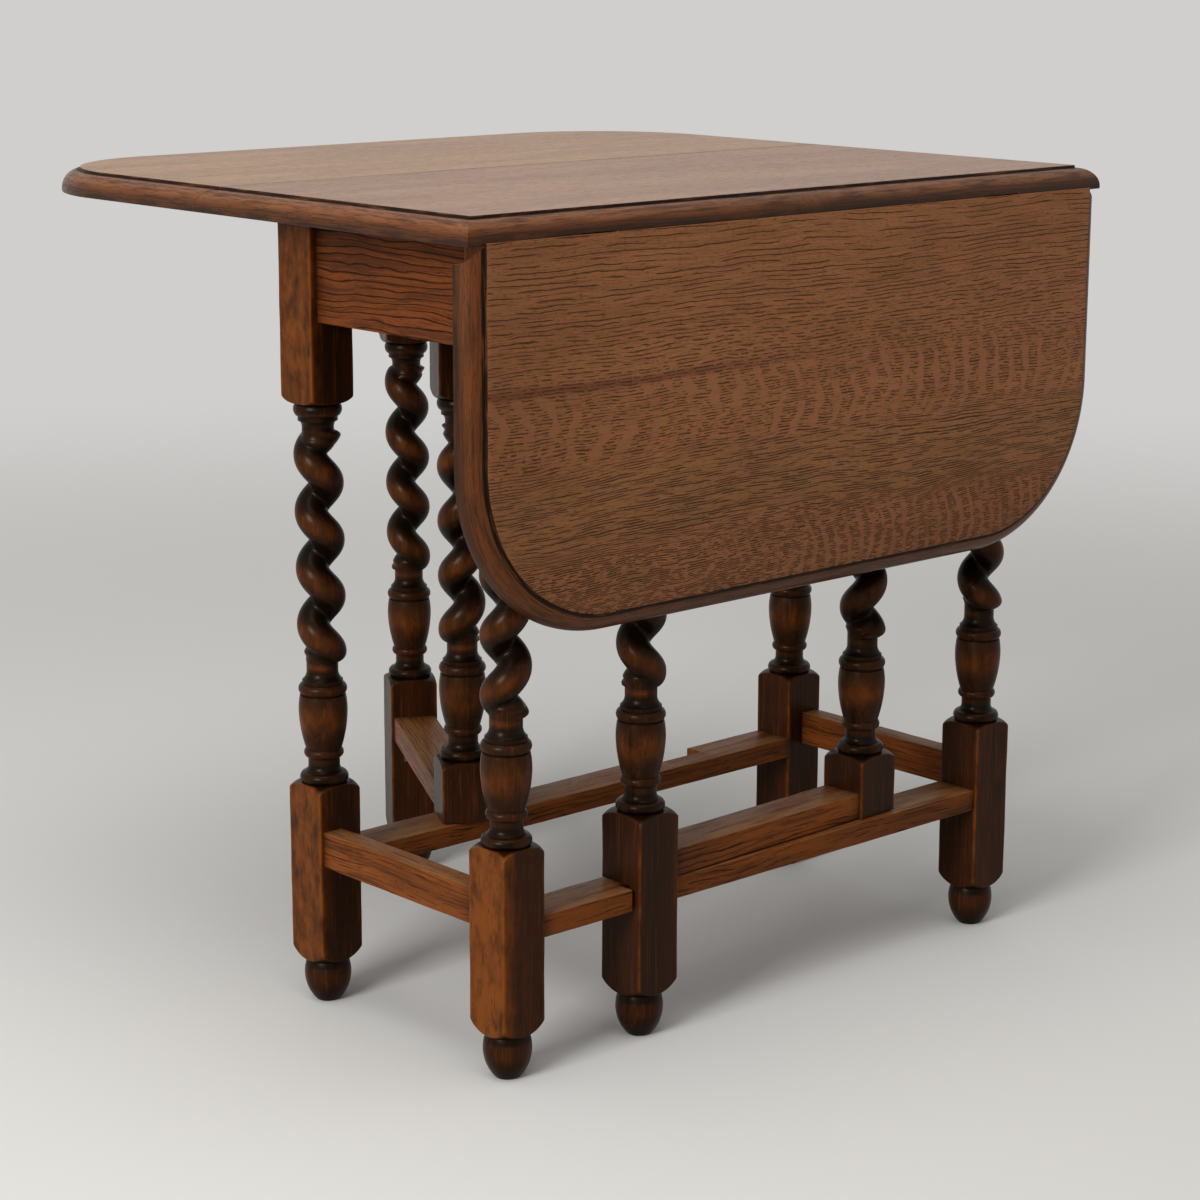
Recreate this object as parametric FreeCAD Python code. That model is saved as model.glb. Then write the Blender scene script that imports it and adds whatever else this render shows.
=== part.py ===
"""Barley-twist gateleg table with two drop leaves, one raised on its open gate and one hanging.

Millimetres. X runs along the hinge lines, -Y is the side of the hanging leaf, +Y the side of the
raised leaf, +Z is up. Everything is modelled about the middle of the fixed frame on the floor and
moved along Y at the end, so that the origin is the bottom centre of the bounding box.
"""
import FreeCAD, Part
import math
import os

from FreeCAD import Placement, Rotation, Vector

# ---- driving dimensions -----------------------------------------------------------------
table_height = 730.0
frame_length = 636.0          # outer faces of the corner legs, along X
frame_width = 294.0           # outer faces of the corner legs, along Y
leg_square = 45.0             # corner legs
gate_square = 47.0            # gate legs and gate posts

# the top and its moulded edge, which is also the rule joint
top_length = 760.0
top_thickness = 21.5
joint_half = 165.0            # from the middle to a joint line, on the top surface
quirk_depth = 2.5             # small square step between the flat and the ovolo
ovolo_radius = 16.5
leaf_reach = 326.0            # from a joint line to the leaf's outer edge
leaf_corner_radius = 148.0
joint_gap = 0.8               # open line between the top and a raised leaf
cove_clearance = 0.5          # between the ovolo and the leaf's cove

# heights along a leg, from the floor or down from the underside of the top
lower_block_bottom = 51.0
lower_block_top = 197.6
upper_block_length = 158.5
post_block_drop = 10.0        # the gate posts' upper blocks reach this much lower
post_turning_drop = 5.0       # and so do their lower turnings

# turned rounding at the ends of the square blocks: height, and radius at its narrow end
foot_shoulder_height = 12.5
foot_shoulder_radius = 19.0
base_shoulder_height = 6.4
top_shoulder_height = 6.0
collar_shoulder_radius = 21.4
shoulder_swell = 1.3

# ball foot
foot_radius = 20.4
foot_pad_radius = 10.5
foot_neck_radius = 18.6
foot_widest = 19.5            # height of the ball's widest part

# turnings, from the lower block upwards: radii at the ends, heights, and how far an arc swells
neck_radius = 14.0
collar_radius = 19.2
collar_swell = 2.3
base_collar_height = 9.0
base_cove_radius = 18.8
base_cove_height = 6.3
base_cove_hollow = 1.3
base_neck_height = 7.7
ring_radius = 15.6
ring_height = 7.8
ring_swell = 2.0
vase_foot_radius = 15.8
vase_radius = 21.6
vase_lower_height = 33.7
vase_lower_swell = 1.2
vase_lip_radius = 20.3
vase_upper_height = 15.1
vase_upper_swell = 0.4
groove_radius = 18.6
groove_height = 1.0
collar_height = 9.2
step_radius = 18.0
step_height = 3.4
cove_height = 8.8
cove_hollow = 1.2
lower_neck_height = 10.0
lip_radius = 16.0             # slight lip where the neck meets the windings
lip_height = 6.0
lip_hollow = 0.5

# and from the lip above the twist up to the upper block
upper_neck_height = 4.5
upper_cove_radius = 16.2
upper_cove_height = 7.3
upper_cove_hollow = 0.9
upper_step_radius = 17.4
upper_step_height = 4.5
top_collar_radius = 18.9
top_collar_height = 11.2

# barley twist: a round rod wound about the leg's axis
twist_pitch = 50.4
twist_rod_radius = 14.4
twist_offset = 7.4
twist_run_out = 9.0           # height in which a ridge rounds over into the neck
twist_run_out_swell = 2.0
twist_root = 1.0              # the windings start this far inside the neck's surface
twist_end_slack = 0.5         # the rounding's outer wall stands this far off the winding's ridge
twist_steps_per_turn = 10
core_radius = 6.0             # the domed core on which the hollow between the ridges ends
core_height = 13.0
core_swell = 2.2

# rails and stretchers
end_stretcher_thickness = 21.6
end_stretcher_height = 32.4
end_stretcher_bottom = 132.0
end_stretcher_set_back = 3.7
long_stretcher_width = 44.0
long_stretcher_height = 19.7
long_stretcher_bottom = 121.5
long_stretcher_set_back = 2.5
apron_height = 92.5
end_apron_thickness = 20.0
end_apron_set_back = 7.6
side_apron_thickness = 20.0
tenon_length = 18.0
tenon_thickness = 9.0
tenon_shoulder = 5.0          # left above and below a tenon

# gates
gate_radius = 289.0           # pivot to gate leg, between centres
pivot_x = 144.0
pivot_set_back = 32.5         # pivot line in from the corner legs' outer faces
gate_rail_width = 42.0
gate_rail_height = 23.5
gate_gap = 1.5                # running gap above the stretcher and below the apron
gate_lap_clearance = 0.8
gate_lap_side_clearance = 3.0
gate_top_clearance = 0.3      # gate leg's top below the leaf
far_gate_open = 61.0          # degrees from closed
near_gate_open = 2.15         # the closed gate stands slightly ajar
gate_tenon_length = 14.0      # short enough to pass the pivot dowels
pivot_radius = 6.0
pivot_clearance = 0.08
pivot_depth_post = 25.0
pivot_depth_rail = 14.0

# gate stops under the leaves
stop_length = 45.0
stop_width = 18.0
stop_height = 12.0
stop_clearance = 0.3

# rule-joint hinges
hinge_x = 245.0
hinge_width = 38.0
hinge_flap_thickness = 2.0
hinge_knuckle_radius = 2.5
hinge_pin_radius = 1.2
hinge_bore_clearance = 0.05
hinge_knuckle_gap = 0.3
hinge_top_flap = 27.0
hinge_leaf_flap = 54.0
hinge_recess_clearance = 0.3
hinge_flap_relief = 0.7       # plate kept this far off the other flap's knuckles
hinge_lift_clearance = 0.6    # over the leaf's flap in the top, for a leaf lifted off its gate

# glue blocks in the angle of the aprons and the top
glue_block = 18.0
glue_block_length = 50.0
glue_block_x = 215.0

# ---- values that follow -----------------------------------------------------------------
underside_z = table_height - top_thickness
apron_bottom = underside_z - apron_height
upper_block_bottom = underside_z - upper_block_length
pin_z = table_height - quirk_depth - ovolo_radius
half_flat = top_length / 2 - ovolo_radius
leg_x = frame_length / 2 - leg_square / 2
leg_y = frame_width / 2 - leg_square / 2
pivot_y = frame_width / 2 - pivot_set_back
lap_plane = pivot_y + side_apron_thickness / 2
stretcher_outer = frame_width / 2 - long_stretcher_set_back
stretcher_inner = stretcher_outer - long_stretcher_width
stretcher_top = long_stretcher_bottom + long_stretcher_height
post_bottom = stretcher_top + gate_gap
post_top = apron_bottom - gate_gap
closed_leg_x = pivot_x - gate_radius
twist_radius = twist_offset + twist_rod_radius
far_edge = joint_half + leaf_reach
near_face = joint_half + quirk_depth + ovolo_radius
origin_y = (far_edge - near_face) / 2

Z_AXIS = Vector(0, 0, 1)
X_AXIS = Vector(1, 0, 0)
ORIGIN = Vector(0, 0, 0)


# ---- small helpers ----------------------------------------------------------------------
def box(x0, x1, y0, y1, z0, z1):
    return Part.makeBox(x1 - x0, y1 - y0, z1 - z0, Vector(x0, y0, z0))


def rod(radius, start, end):
    axis = end.sub(start)
    return Part.makeCylinder(radius, axis.Length, start, axis)


def moved(shape, x=0.0, y=0.0, z=0.0):
    copy = shape.copy()
    copy.translate(Vector(x, y, z))
    return copy


def turned_about(shape, angle, centre=ORIGIN, axis=Z_AXIS):
    copy = shape.copy()
    copy.rotate(centre, axis, angle)
    return copy


def opposite(shape):
    """The same piece on the other side: the table is symmetrical under a half turn."""
    return turned_about(shape, 180.0)


class Outline:
    """A turner's half section in the XZ plane, walked upwards from the axis and back to it."""

    def __init__(self, z):
        self.edges = []
        self.at = Vector(0, 0, z)

    def line(self, r, z):
        end = Vector(r, 0, z)
        self.edges.append(Part.LineSegment(self.at, end).toShape())
        self.at = end
        return self

    def arc(self, via_r, via_z, r, z):
        """A round stretch through a middle point, as an exact spline: it turns into light meshes."""
        end = Vector(r, 0, z)
        self.edges.append(Part.Arc(self.at, Vector(via_r, 0, via_z), end).toBSpline().toShape())
        self.at = end
        return self

    def bulge(self, r, z, out):
        """An arc to (r, z) whose middle stands `out` beyond the straight line; negative is hollow."""
        middle = self.at.add(Vector(r, 0, z)).multiply(0.5)
        along = Vector(r, 0, z).sub(self.at).normalize()
        side = Vector(along.z, 0, -along.x).multiply(out)
        via = middle.add(side)
        return self.arc(via.x, via.z, r, z)

    def rise(self, r, height, out=0.0):
        """Up by `height` to radius r, straight or swelling by `out`."""
        if out:
            return self.bulge(r, self.at.z + height, out)
        return self.line(r, self.at.z + height)

    def ring(self, r, height, out):
        """A turned ring: out or in to radius r, then up over a swelling back to r."""
        return self.line(r, self.at.z).rise(r, height, out)

    def revolve(self):
        self.line(0, self.at.z)
        start = self.edges[0].firstVertex().Point
        self.edges.append(Part.LineSegment(self.at, start).toShape())
        face = Part.Face(Part.Wire(self.edges))
        return face.revolve(ORIGIN, Z_AXIS, 360)


# ---- turned legs ------------------------------------------------------------------------
def foot():
    profile = Outline(0).line(foot_pad_radius, 0)
    profile.arc(foot_radius, foot_widest, foot_neck_radius, lower_block_bottom - foot_shoulder_height)
    return profile.revolve()


def square_block(square, bottom, top, below=None, above=None):
    """A square block; `below` and `above` give the height and narrow radius of a turned end.

    The rounding leaves each flat face ending in an arch.
    """
    corner = square / math.sqrt(2)
    low = bottom - below[0] if below else bottom
    profile = Outline(low)
    if below:
        profile.line(below[1], low).bulge(corner, bottom, shoulder_swell)
    else:
        profile.line(corner, low)
    profile.line(corner, top)
    if above:
        profile.rise(above[1], above[0], shoulder_swell)
    half = square / 2
    return box(-half, half, -half, half, low, profile.at.z).common(profile.revolve())


def lower_turning(z):
    """Collar, cove, ring, vase, collar and neck; the core goes on inside the windings."""
    profile = Outline(z).ring(collar_radius, base_collar_height, collar_swell)
    profile.line(base_cove_radius, profile.at.z)
    profile.rise(neck_radius, base_cove_height, -base_cove_hollow)
    profile.rise(neck_radius, base_neck_height)
    profile.ring(ring_radius, ring_height, ring_swell)
    profile.line(vase_foot_radius, profile.at.z)
    profile.rise(vase_radius, vase_lower_height, vase_lower_swell)
    profile.rise(vase_lip_radius, vase_upper_height, vase_upper_swell)
    profile.ring(groove_radius, groove_height, 0)
    profile.ring(collar_radius, collar_height, collar_swell)
    profile.ring(step_radius, step_height, 0)
    profile.rise(neck_radius, cove_height, -cove_hollow)
    profile.rise(neck_radius, lower_neck_height)
    profile.rise(lip_radius, lip_height, -lip_hollow)
    lip = profile.at.z
    profile.rise(core_radius, core_height, core_swell)
    return profile.revolve(), lip


def upper_turning(top):
    """Core, neck, cove, step and collar, up to the upper block's rounding."""
    lip = top - top_collar_height - upper_step_height - upper_cove_height - upper_neck_height - lip_height
    profile = Outline(lip - core_height).line(core_radius, lip - core_height)
    profile.rise(lip_radius, core_height, core_swell)
    profile.rise(neck_radius, lip_height, -lip_hollow)
    profile.rise(neck_radius, upper_neck_height)
    profile.rise(upper_cove_radius, upper_cove_height, -upper_cove_hollow)
    profile.ring(upper_step_radius, upper_step_height, 0)
    profile.ring(top_collar_radius, top_collar_height, collar_swell)
    return profile.revolve(), lip


def twist(low_lip, high_lip, hand, angle):
    """Round rod wound about the axis, built of short mitred lengths and rounded over at both ends.

    hand is 1 for a right-hand twist and -1 for a left-hand one; angle is where the ridge stands
    at the lower lip.
    """
    bottom = low_lip - twist_run_out
    top = high_lip + twist_run_out
    rise = twist_pitch / twist_steps_per_turn
    first = bottom - rise
    path = []
    for step in range(math.ceil((top - first) / rise) + 2):
        height = first + step * rise
        turn = math.radians(angle) + hand * 2 * math.pi * (height - low_lip) / twist_pitch
        path.append(Vector(twist_offset * math.cos(turn), twist_offset * math.sin(turn), height))
    section = Part.Wire([Part.makeCircle(twist_rod_radius, path[0], path[1].sub(path[0]))])
    wound = Part.makePolygon(path).makePipeShell([section], True, False, 1)
    widest = twist_radius + twist_end_slack
    root = neck_radius - twist_root
    envelope = Outline(bottom).line(root, bottom).rise(widest, twist_run_out, twist_run_out_swell)
    envelope.line(widest, high_lip).rise(root, twist_run_out, twist_run_out_swell)
    return wound.common(envelope.revolve())


def upright(lower_parts, square, lower_top, upper_bottom, upper_top, hand, angle):
    """One turned upright on the Z axis: its lower block and foot, turnings, twist and upper block."""
    low, low_lip = lower_turning(lower_top + base_shoulder_height)
    high, high_lip = upper_turning(upper_bottom - top_shoulder_height)
    winding = twist(low_lip, high_lip, hand, angle)
    upper_block = square_block(square, upper_bottom, upper_top,
                               below=(top_shoulder_height, collar_shoulder_radius))
    return low.multiFuse([winding, high, upper_block] + lower_parts).removeSplitter()


def footed_leg(square, upper_top, hand, angle):
    lower_block = square_block(square, lower_block_bottom, lower_block_top,
                               below=(foot_shoulder_height, foot_shoulder_radius),
                               above=(base_shoulder_height, collar_shoulder_radius))
    return upright([lower_block, foot()], square, lower_block_top, upper_block_bottom, upper_top,
                   hand, angle)


def corner_leg(hand, angle, side_x, side_y):
    """A corner leg with its mortises, stood in its corner of the frame."""
    leg = moved(footed_leg(leg_square, underside_z, hand, angle), side_x * leg_x, side_y * leg_y)
    for rail in (end_stretcher(side_x), end_apron(side_x), long_stretcher(side_y), side_apron(side_y)):
        leg = leg.cut(rail)
    return leg


# ---- frame ------------------------------------------------------------------------------
def tenoned_rail(length, width, height, tenon_width, tenon=tenon_length):
    """A rail centred on the origin along X, its underside at z = 0, with a tenon at each end."""
    half = length / 2
    body = box(-half, half, -width / 2, width / 2, 0, height)
    tenon = box(-half - tenon, half + tenon, -tenon_width / 2, tenon_width / 2,
                tenon_shoulder, height - tenon_shoulder)
    return body.fuse(tenon).removeSplitter()


def end_rail(side, thickness, height, set_back, bottom):
    rail = tenoned_rail(frame_width - 2 * leg_square, thickness, height, tenon_thickness)
    x = frame_length / 2 - set_back - thickness / 2
    return moved(turned_about(rail, 90), side * x, 0, bottom)


def end_stretcher(side):
    return end_rail(side, end_stretcher_thickness, end_stretcher_height, end_stretcher_set_back,
                    end_stretcher_bottom)


def end_apron(side):
    return end_rail(side, end_apron_thickness, apron_height, end_apron_set_back, apron_bottom)


def long_stretcher(side):
    """Flat lower rail under a gate: a notch for the closed gate leg and a hole for the pivot."""
    rail = tenoned_rail(frame_length - 2 * leg_square, long_stretcher_width, long_stretcher_height,
                        long_stretcher_width - 4 * tenon_shoulder)
    rail = moved(rail, 0, -(stretcher_outer + stretcher_inner) / 2, long_stretcher_bottom)
    notch_half = gate_square / 2 + gate_lap_side_clearance
    notch = box(closed_leg_x - notch_half, closed_leg_x + notch_half, -stretcher_outer, -lap_plane,
                long_stretcher_bottom, stretcher_top)
    hole = rod(pivot_radius + pivot_clearance, Vector(pivot_x, -pivot_y, stretcher_top - pivot_depth_rail),
               Vector(pivot_x, -pivot_y, stretcher_top))
    rail = rail.cut(notch).cut(hole)
    return rail if side < 0 else opposite(rail)


def side_apron(side):
    """Upper rail between the corner legs; the gate post turns under it."""
    rail = tenoned_rail(frame_length - 2 * leg_square, side_apron_thickness, apron_height,
                        tenon_thickness)
    rail = moved(rail, 0, -pivot_y, apron_bottom)
    hole = rod(pivot_radius + pivot_clearance, Vector(pivot_x, -pivot_y, apron_bottom),
               Vector(pivot_x, -pivot_y, apron_bottom + pivot_depth_rail))
    rail = rail.cut(hole)
    return rail if side < 0 else opposite(rail)


def glue_blocks():
    """Square blocks in the angle between the aprons and the top."""
    inner_x = frame_length / 2 - end_apron_set_back - end_apron_thickness
    inner_y = pivot_y - side_apron_thickness / 2
    z = underside_z - glue_block
    half = glue_block_length / 2
    end = box(inner_x - glue_block, inner_x, -half, half, z, underside_z)
    side = box(-half, half, inner_y - glue_block, inner_y, z, underside_z)
    blocks = [end, opposite(end)]
    for x in (-glue_block_x, glue_block_x):
        blocks += [moved(side, x), opposite(moved(side, x))]
    return Part.makeCompound(blocks)


# ---- the top and its leaves -------------------------------------------------------------
def moulded_bar(length, half_width):
    """Bar along X with a quirk and ovolo along both long edges; the arcs centre on the pin height."""
    out = half_width + ovolo_radius
    bend = ovolo_radius * math.sqrt(0.5)
    points = [Vector(0, -out, underside_z), Vector(0, out, underside_z), Vector(0, out, pin_z)]
    edges = [Part.LineSegment(points[0], points[1]).toShape(),
             Part.LineSegment(points[1], points[2]).toShape()]
    crown = pin_z + ovolo_radius
    edges.append(Part.Arc(Vector(0, out, pin_z), Vector(0, half_width + bend, pin_z + bend),
                          Vector(0, half_width, crown)).toShape())
    edges.append(Part.makePolygon([Vector(0, half_width, crown), Vector(0, half_width, table_height),
                                   Vector(0, -half_width, table_height), Vector(0, -half_width, crown)]))
    edges.append(Part.Arc(Vector(0, -half_width, crown), Vector(0, -half_width - bend, pin_z + bend),
                          Vector(0, -out, pin_z)).toShape())
    edges.append(Part.LineSegment(Vector(0, -out, pin_z), points[0]).toShape())
    wire = Part.Wire(Part.__sortEdges__([edge for item in edges for edge in item.Edges]))
    bar = Part.Face(wire).extrude(Vector(length, 0, 0))
    return moved(bar, -length / 2)


def centre_top():
    """Fixed top: the moulding runs round all four sides, mitred at the corners."""
    reach = top_length + joint_half
    along = moulded_bar(reach, joint_half)
    across = turned_about(moulded_bar(reach, half_flat), 90)
    top = along.common(across)
    for side in (-1, 1):
        for x in (-hinge_x, hinge_x):
            top = top.cut(hinge_recess(x, side)).cut(hinge_lift_recess(x, side))
    return top


def leaf_slab(inset, z0, z1):
    """The leaf's outline, `inset` in from its outer edge, between two heights."""
    x = top_length / 2 - inset
    far = far_edge - inset
    radius = leaf_corner_radius - inset
    turn = radius * (1 - math.sqrt(0.5))
    left = Part.Arc(Vector(-x, far - radius, z0), Vector(-x + turn, far - turn, z0),
                    Vector(-x + radius, far, z0)).toShape()
    right = Part.Arc(Vector(x - radius, far, z0), Vector(x - turn, far - turn, z0),
                     Vector(x, far - radius, z0)).toShape()
    edges = [Part.LineSegment(Vector(-x, 0, z0), Vector(-x, far - radius, z0)).toShape(), left,
             Part.LineSegment(Vector(-x + radius, far, z0), Vector(x - radius, far, z0)).toShape(), right,
             Part.LineSegment(Vector(x, far - radius, z0), Vector(x, 0, z0)).toShape(),
             Part.LineSegment(Vector(x, 0, z0), Vector(-x, 0, z0)).toShape()]
    return Part.Face(Part.Wire(edges)).extrude(Vector(0, 0, z1 - z0))


def flat_leaf():
    """A leaf in its raised place on the +Y side: moulded outer edge, cove along the joint."""
    crown = pin_z + ovolo_radius
    body = leaf_slab(0, underside_z, crown)
    rim = [edge for edge in body.Edges
           if edge.BoundBox.ZMin > crown - 0.01 and edge.BoundBox.YMax > 0.01]
    leaf = body.makeFillet(ovolo_radius - 0.001, rim).fuse(leaf_slab(ovolo_radius, crown, table_height))
    half = top_length
    cove = ovolo_radius + cove_clearance
    waste = box(-half, half, -half, joint_half + joint_gap, 0, table_height + 1)
    waste = waste.fuse(box(-half, half, -half, joint_half + cove, 0, pin_z))
    waste = waste.fuse(rod(cove, Vector(-half, joint_half, pin_z), Vector(half, joint_half, pin_z)))
    leaf = leaf.cut(waste)
    for x in (-hinge_x, hinge_x):
        leaf = leaf.cut(hinge_recess(x, 1))
    return leaf


def hang(shape):
    """A piece of the raised far leaf, taken to the near side and let down by a right angle."""
    return turned_about(opposite(shape), 90, Vector(0, -joint_half, pin_z), X_AXIS)


# ---- rule-joint hinges ------------------------------------------------------------------
def hinge_recess(x, side):
    """Housing let into the underside for both flaps and the knuckle."""
    c = hinge_recess_clearance
    half = hinge_width / 2 + c
    plate = box(x - half, x + half, joint_half - hinge_top_flap - c, joint_half + hinge_leaf_flap + c,
                underside_z - 1, underside_z + hinge_flap_thickness)
    groove = rod(hinge_knuckle_radius + c, Vector(x - half, joint_half, pin_z),
                 Vector(x + half, joint_half, pin_z))
    recess = plate.fuse(groove)
    return recess if side > 0 else opposite(recess)


def hinge_lift_recess(x, side):
    """Deepening of the housing over a leaf's flap, in the part of the top that overhangs it."""
    half = hinge_width / 2 + hinge_recess_clearance
    recess = box(x - half, x + half, joint_half, joint_half + hinge_leaf_flap, underside_z,
                 underside_z + hinge_flap_thickness + hinge_lift_clearance)
    return recess if side > 0 else opposite(recess)


def knuckle(x0, x1):
    return rod(hinge_knuckle_radius, Vector(x0, joint_half, pin_z), Vector(x1, joint_half, pin_z))


def hinge_flap(x, reach, knuckles, direction):
    """A flap on one side of the pin, with its own knuckles and a bore for the pin."""
    half = hinge_width / 2
    near = hinge_knuckle_radius + hinge_flap_relief
    z0 = underside_z
    z1 = underside_z + hinge_flap_thickness
    span = sorted((joint_half + direction * near, joint_half + direction * reach))
    flap = box(x - half, x + half, span[0], span[1], z0, z1)
    root = sorted((joint_half, joint_half + direction * near))
    for x0, x1 in knuckles:
        flap = flap.fuse(box(x + x0, x + x1, root[0], root[1], z0, z1)).fuse(knuckle(x + x0, x + x1))
    bore = rod(hinge_pin_radius + hinge_bore_clearance, Vector(x - half, joint_half, pin_z),
               Vector(x + half, joint_half, pin_z))
    return flap.cut(bore).removeSplitter()


def hinge_parts():
    """Top flaps, leaf flaps and pins of the two hinges at the far joint."""
    half = hinge_width / 2
    third = hinge_width / 6
    gap = hinge_knuckle_gap / 2
    outer = [(-half, -third - gap), (third + gap, half)]
    middle = [(-third + gap, third - gap)]
    places = (-hinge_x, hinge_x)
    top = [hinge_flap(x, hinge_top_flap, outer, -1) for x in places]
    leaf = [hinge_flap(x, hinge_leaf_flap, middle, 1) for x in places]
    pins = [rod(hinge_pin_radius, Vector(x - half, joint_half, pin_z), Vector(x + half, joint_half, pin_z))
            for x in places]
    return Part.makeCompound(top), Part.makeCompound(leaf), Part.makeCompound(pins)


# ---- gates ------------------------------------------------------------------------------
def gate_rail(bottom):
    """A gate's rail, modelled closed on the near side, tenoned into the leg and the post."""
    length = gate_radius - gate_square
    rail = tenoned_rail(length, gate_rail_width, gate_rail_height, gate_rail_width / 2,
                        gate_tenon_length)
    return moved(rail, (pivot_x + closed_leg_x) / 2, -pivot_y, bottom)


def gate_lower_rail():
    return gate_rail(post_bottom)


def gate_upper_rail():
    return gate_rail(post_top - gate_rail_height)


def gate_leg(hand, angle):
    """Gate leg, closed on the near side: halved over the stretcher and, at its top, over the apron."""
    leg = moved(footed_leg(gate_square, underside_z - gate_top_clearance, hand, angle),
                closed_leg_x, -pivot_y)
    cheek = lap_plane + gate_lap_clearance
    wide = gate_square
    lower = box(closed_leg_x - wide, closed_leg_x + wide, -cheek, 0,
                long_stretcher_bottom - gate_gap, stretcher_top + gate_gap)
    upper = box(closed_leg_x - wide, closed_leg_x + wide, -cheek, 0, post_top, table_height)
    leg = leg.cut(lower).cut(upper)
    return leg.cut(gate_lower_rail()).cut(gate_upper_rail())


def gate_post(hand, angle):
    """Gate post: it stands on the stretcher and turns on a dowel at each end."""
    lower_top = lower_block_top - post_turning_drop
    lower_block = square_block(gate_square, post_bottom, lower_top,
                               above=(base_shoulder_height, collar_shoulder_radius))
    post = upright([lower_block], gate_square, lower_top, upper_block_bottom - post_block_drop,
                   post_top, hand, angle)
    post = moved(post, pivot_x, -pivot_y)
    return post.cut(gate_lower_rail()).cut(gate_upper_rail()).cut(pivot_dowels())


def pivot_dowels():
    lower = rod(pivot_radius, Vector(pivot_x, -pivot_y, stretcher_top - pivot_depth_rail + gate_gap),
                Vector(pivot_x, -pivot_y, post_bottom + pivot_depth_post))
    upper = rod(pivot_radius, Vector(pivot_x, -pivot_y, post_top - pivot_depth_post),
                Vector(pivot_x, -pivot_y, apron_bottom + pivot_depth_rail - gate_gap))
    return Part.makeCompound([lower, upper])


def far_stop_block():
    """Block under the raised leaf that stops its gate at the open angle."""
    face = gate_square / 2 + stop_clearance
    block = box(gate_radius - stop_length / 2, gate_radius + stop_length / 2, face, face + stop_width,
                underside_z - stop_height, underside_z)
    return moved(turned_about(block, far_gate_open), -pivot_x, pivot_y)


def set_gate(shape, side):
    """Swing a closed near-side gate piece to its resting angle on the near or the far side."""
    angle = near_gate_open if side < 0 else far_gate_open
    swung = turned_about(shape, angle, Vector(pivot_x, -pivot_y, 0))
    return swung if side < 0 else opposite(swung)


# ---- the whole table --------------------------------------------------------------------
def build():
    nodes = {}
    corners = {
        "leg_near_left": (1, 70.0, -1, -1),
        "leg_near_right": (-1, 275.0, 1, -1),
        "leg_far_left": (-1, 323.0, -1, 1),
        "leg_far_right": (1, 250.0, 1, 1),
    }
    for name, (hand, angle, side_x, side_y) in corners.items():
        nodes[name] = corner_leg(hand, angle, side_x, side_y)
    for name, side in (("left", -1), ("right", 1)):
        nodes["end_stretcher_" + name] = end_stretcher(side)
        nodes["end_apron_" + name] = end_apron(side)
    top_flaps, leaf_flaps, pins = hinge_parts()
    leaf = flat_leaf()
    stop = far_stop_block()
    rails = (("gate_lower_rail_", gate_lower_rail()), ("gate_upper_rail_", gate_upper_rail()),
             ("gate_pivot_dowels_", pivot_dowels()))
    gate_angles = {"near": (347.0, 355.0), "far": (117.0, 240.0)}
    for name, side in (("near", -1), ("far", 1)):
        nodes["long_stretcher_" + name] = long_stretcher(side)
        nodes["side_apron_" + name] = side_apron(side)
        leg_angle, post_angle = gate_angles[name]
        nodes["gate_leg_" + name] = set_gate(gate_leg(-1, leg_angle), side)
        nodes["gate_post_" + name] = set_gate(gate_post(1, post_angle), side)
        for prefix, shape in rails:
            nodes[prefix + name] = set_gate(shape, side)
        place = hang if side < 0 else Part.Shape.copy
        nodes["leaf_" + name] = place(leaf)
        nodes["hinge_leaf_flaps_" + name] = place(leaf_flaps)
        nodes["gate_stop_block_" + name] = place(stop)
        over = opposite if side < 0 else Part.Shape.copy
        nodes["hinge_top_flaps_" + name] = over(top_flaps)
        nodes["hinge_pins_" + name] = over(pins)
    nodes["centre_top"] = centre_top()
    nodes["glue_blocks"] = glue_blocks()
    return nodes


def main():
    os.makedirs("parts", exist_ok=True)
    for name, shape in build().items():
        placed = moved(shape, 0, -origin_y)
        placed.exportStep("parts/" + name + ".step")
        solids = placed.Solids
        print(name, "solids", len(solids), "valid", placed.isValid(),
              "volume", round(sum(solid.Volume for solid in solids) / 1000, 1), "cm3")


main()
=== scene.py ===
"""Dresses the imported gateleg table: smooth turned uprights, worn oak, dark stain, brass and screws.

Sizes are in millimetres about the middle of the frame on the floor, as in the part's source, and
place() takes them to the row frame in metres.
"""
from functools import partialmethod
from math import asin, atan2, copysign, cos, exp, hypot, pi, radians, sin, sqrt, tau

import bmesh
import bpy
import numpy as np
from mathutils import Matrix, Vector, noise


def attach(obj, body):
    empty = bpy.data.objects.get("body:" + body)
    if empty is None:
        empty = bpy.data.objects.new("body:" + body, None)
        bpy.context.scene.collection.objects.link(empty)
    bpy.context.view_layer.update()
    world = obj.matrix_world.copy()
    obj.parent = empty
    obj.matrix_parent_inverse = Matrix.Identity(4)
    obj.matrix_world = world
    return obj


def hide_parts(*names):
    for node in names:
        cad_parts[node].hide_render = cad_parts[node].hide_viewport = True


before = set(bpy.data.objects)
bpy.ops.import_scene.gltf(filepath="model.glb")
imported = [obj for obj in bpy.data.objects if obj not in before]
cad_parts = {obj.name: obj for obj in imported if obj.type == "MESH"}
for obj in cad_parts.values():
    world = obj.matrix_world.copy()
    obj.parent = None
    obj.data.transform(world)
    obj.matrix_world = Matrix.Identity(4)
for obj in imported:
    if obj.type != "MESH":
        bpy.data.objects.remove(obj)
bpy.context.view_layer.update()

MM = 0.001

# ---- sizes shared with the solids ----
table_height = 730
frame_length = 636
frame_width = 294
leg_square = 45
gate_square = 47
top_length = 760
top_thickness = 21.5
joint_half = 165
quirk_depth = 2.5
ovolo_radius = 16.5
leaf_reach = 326
leaf_corner_radius = 148
joint_gap = 0.8
cove_radius = 17

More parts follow.
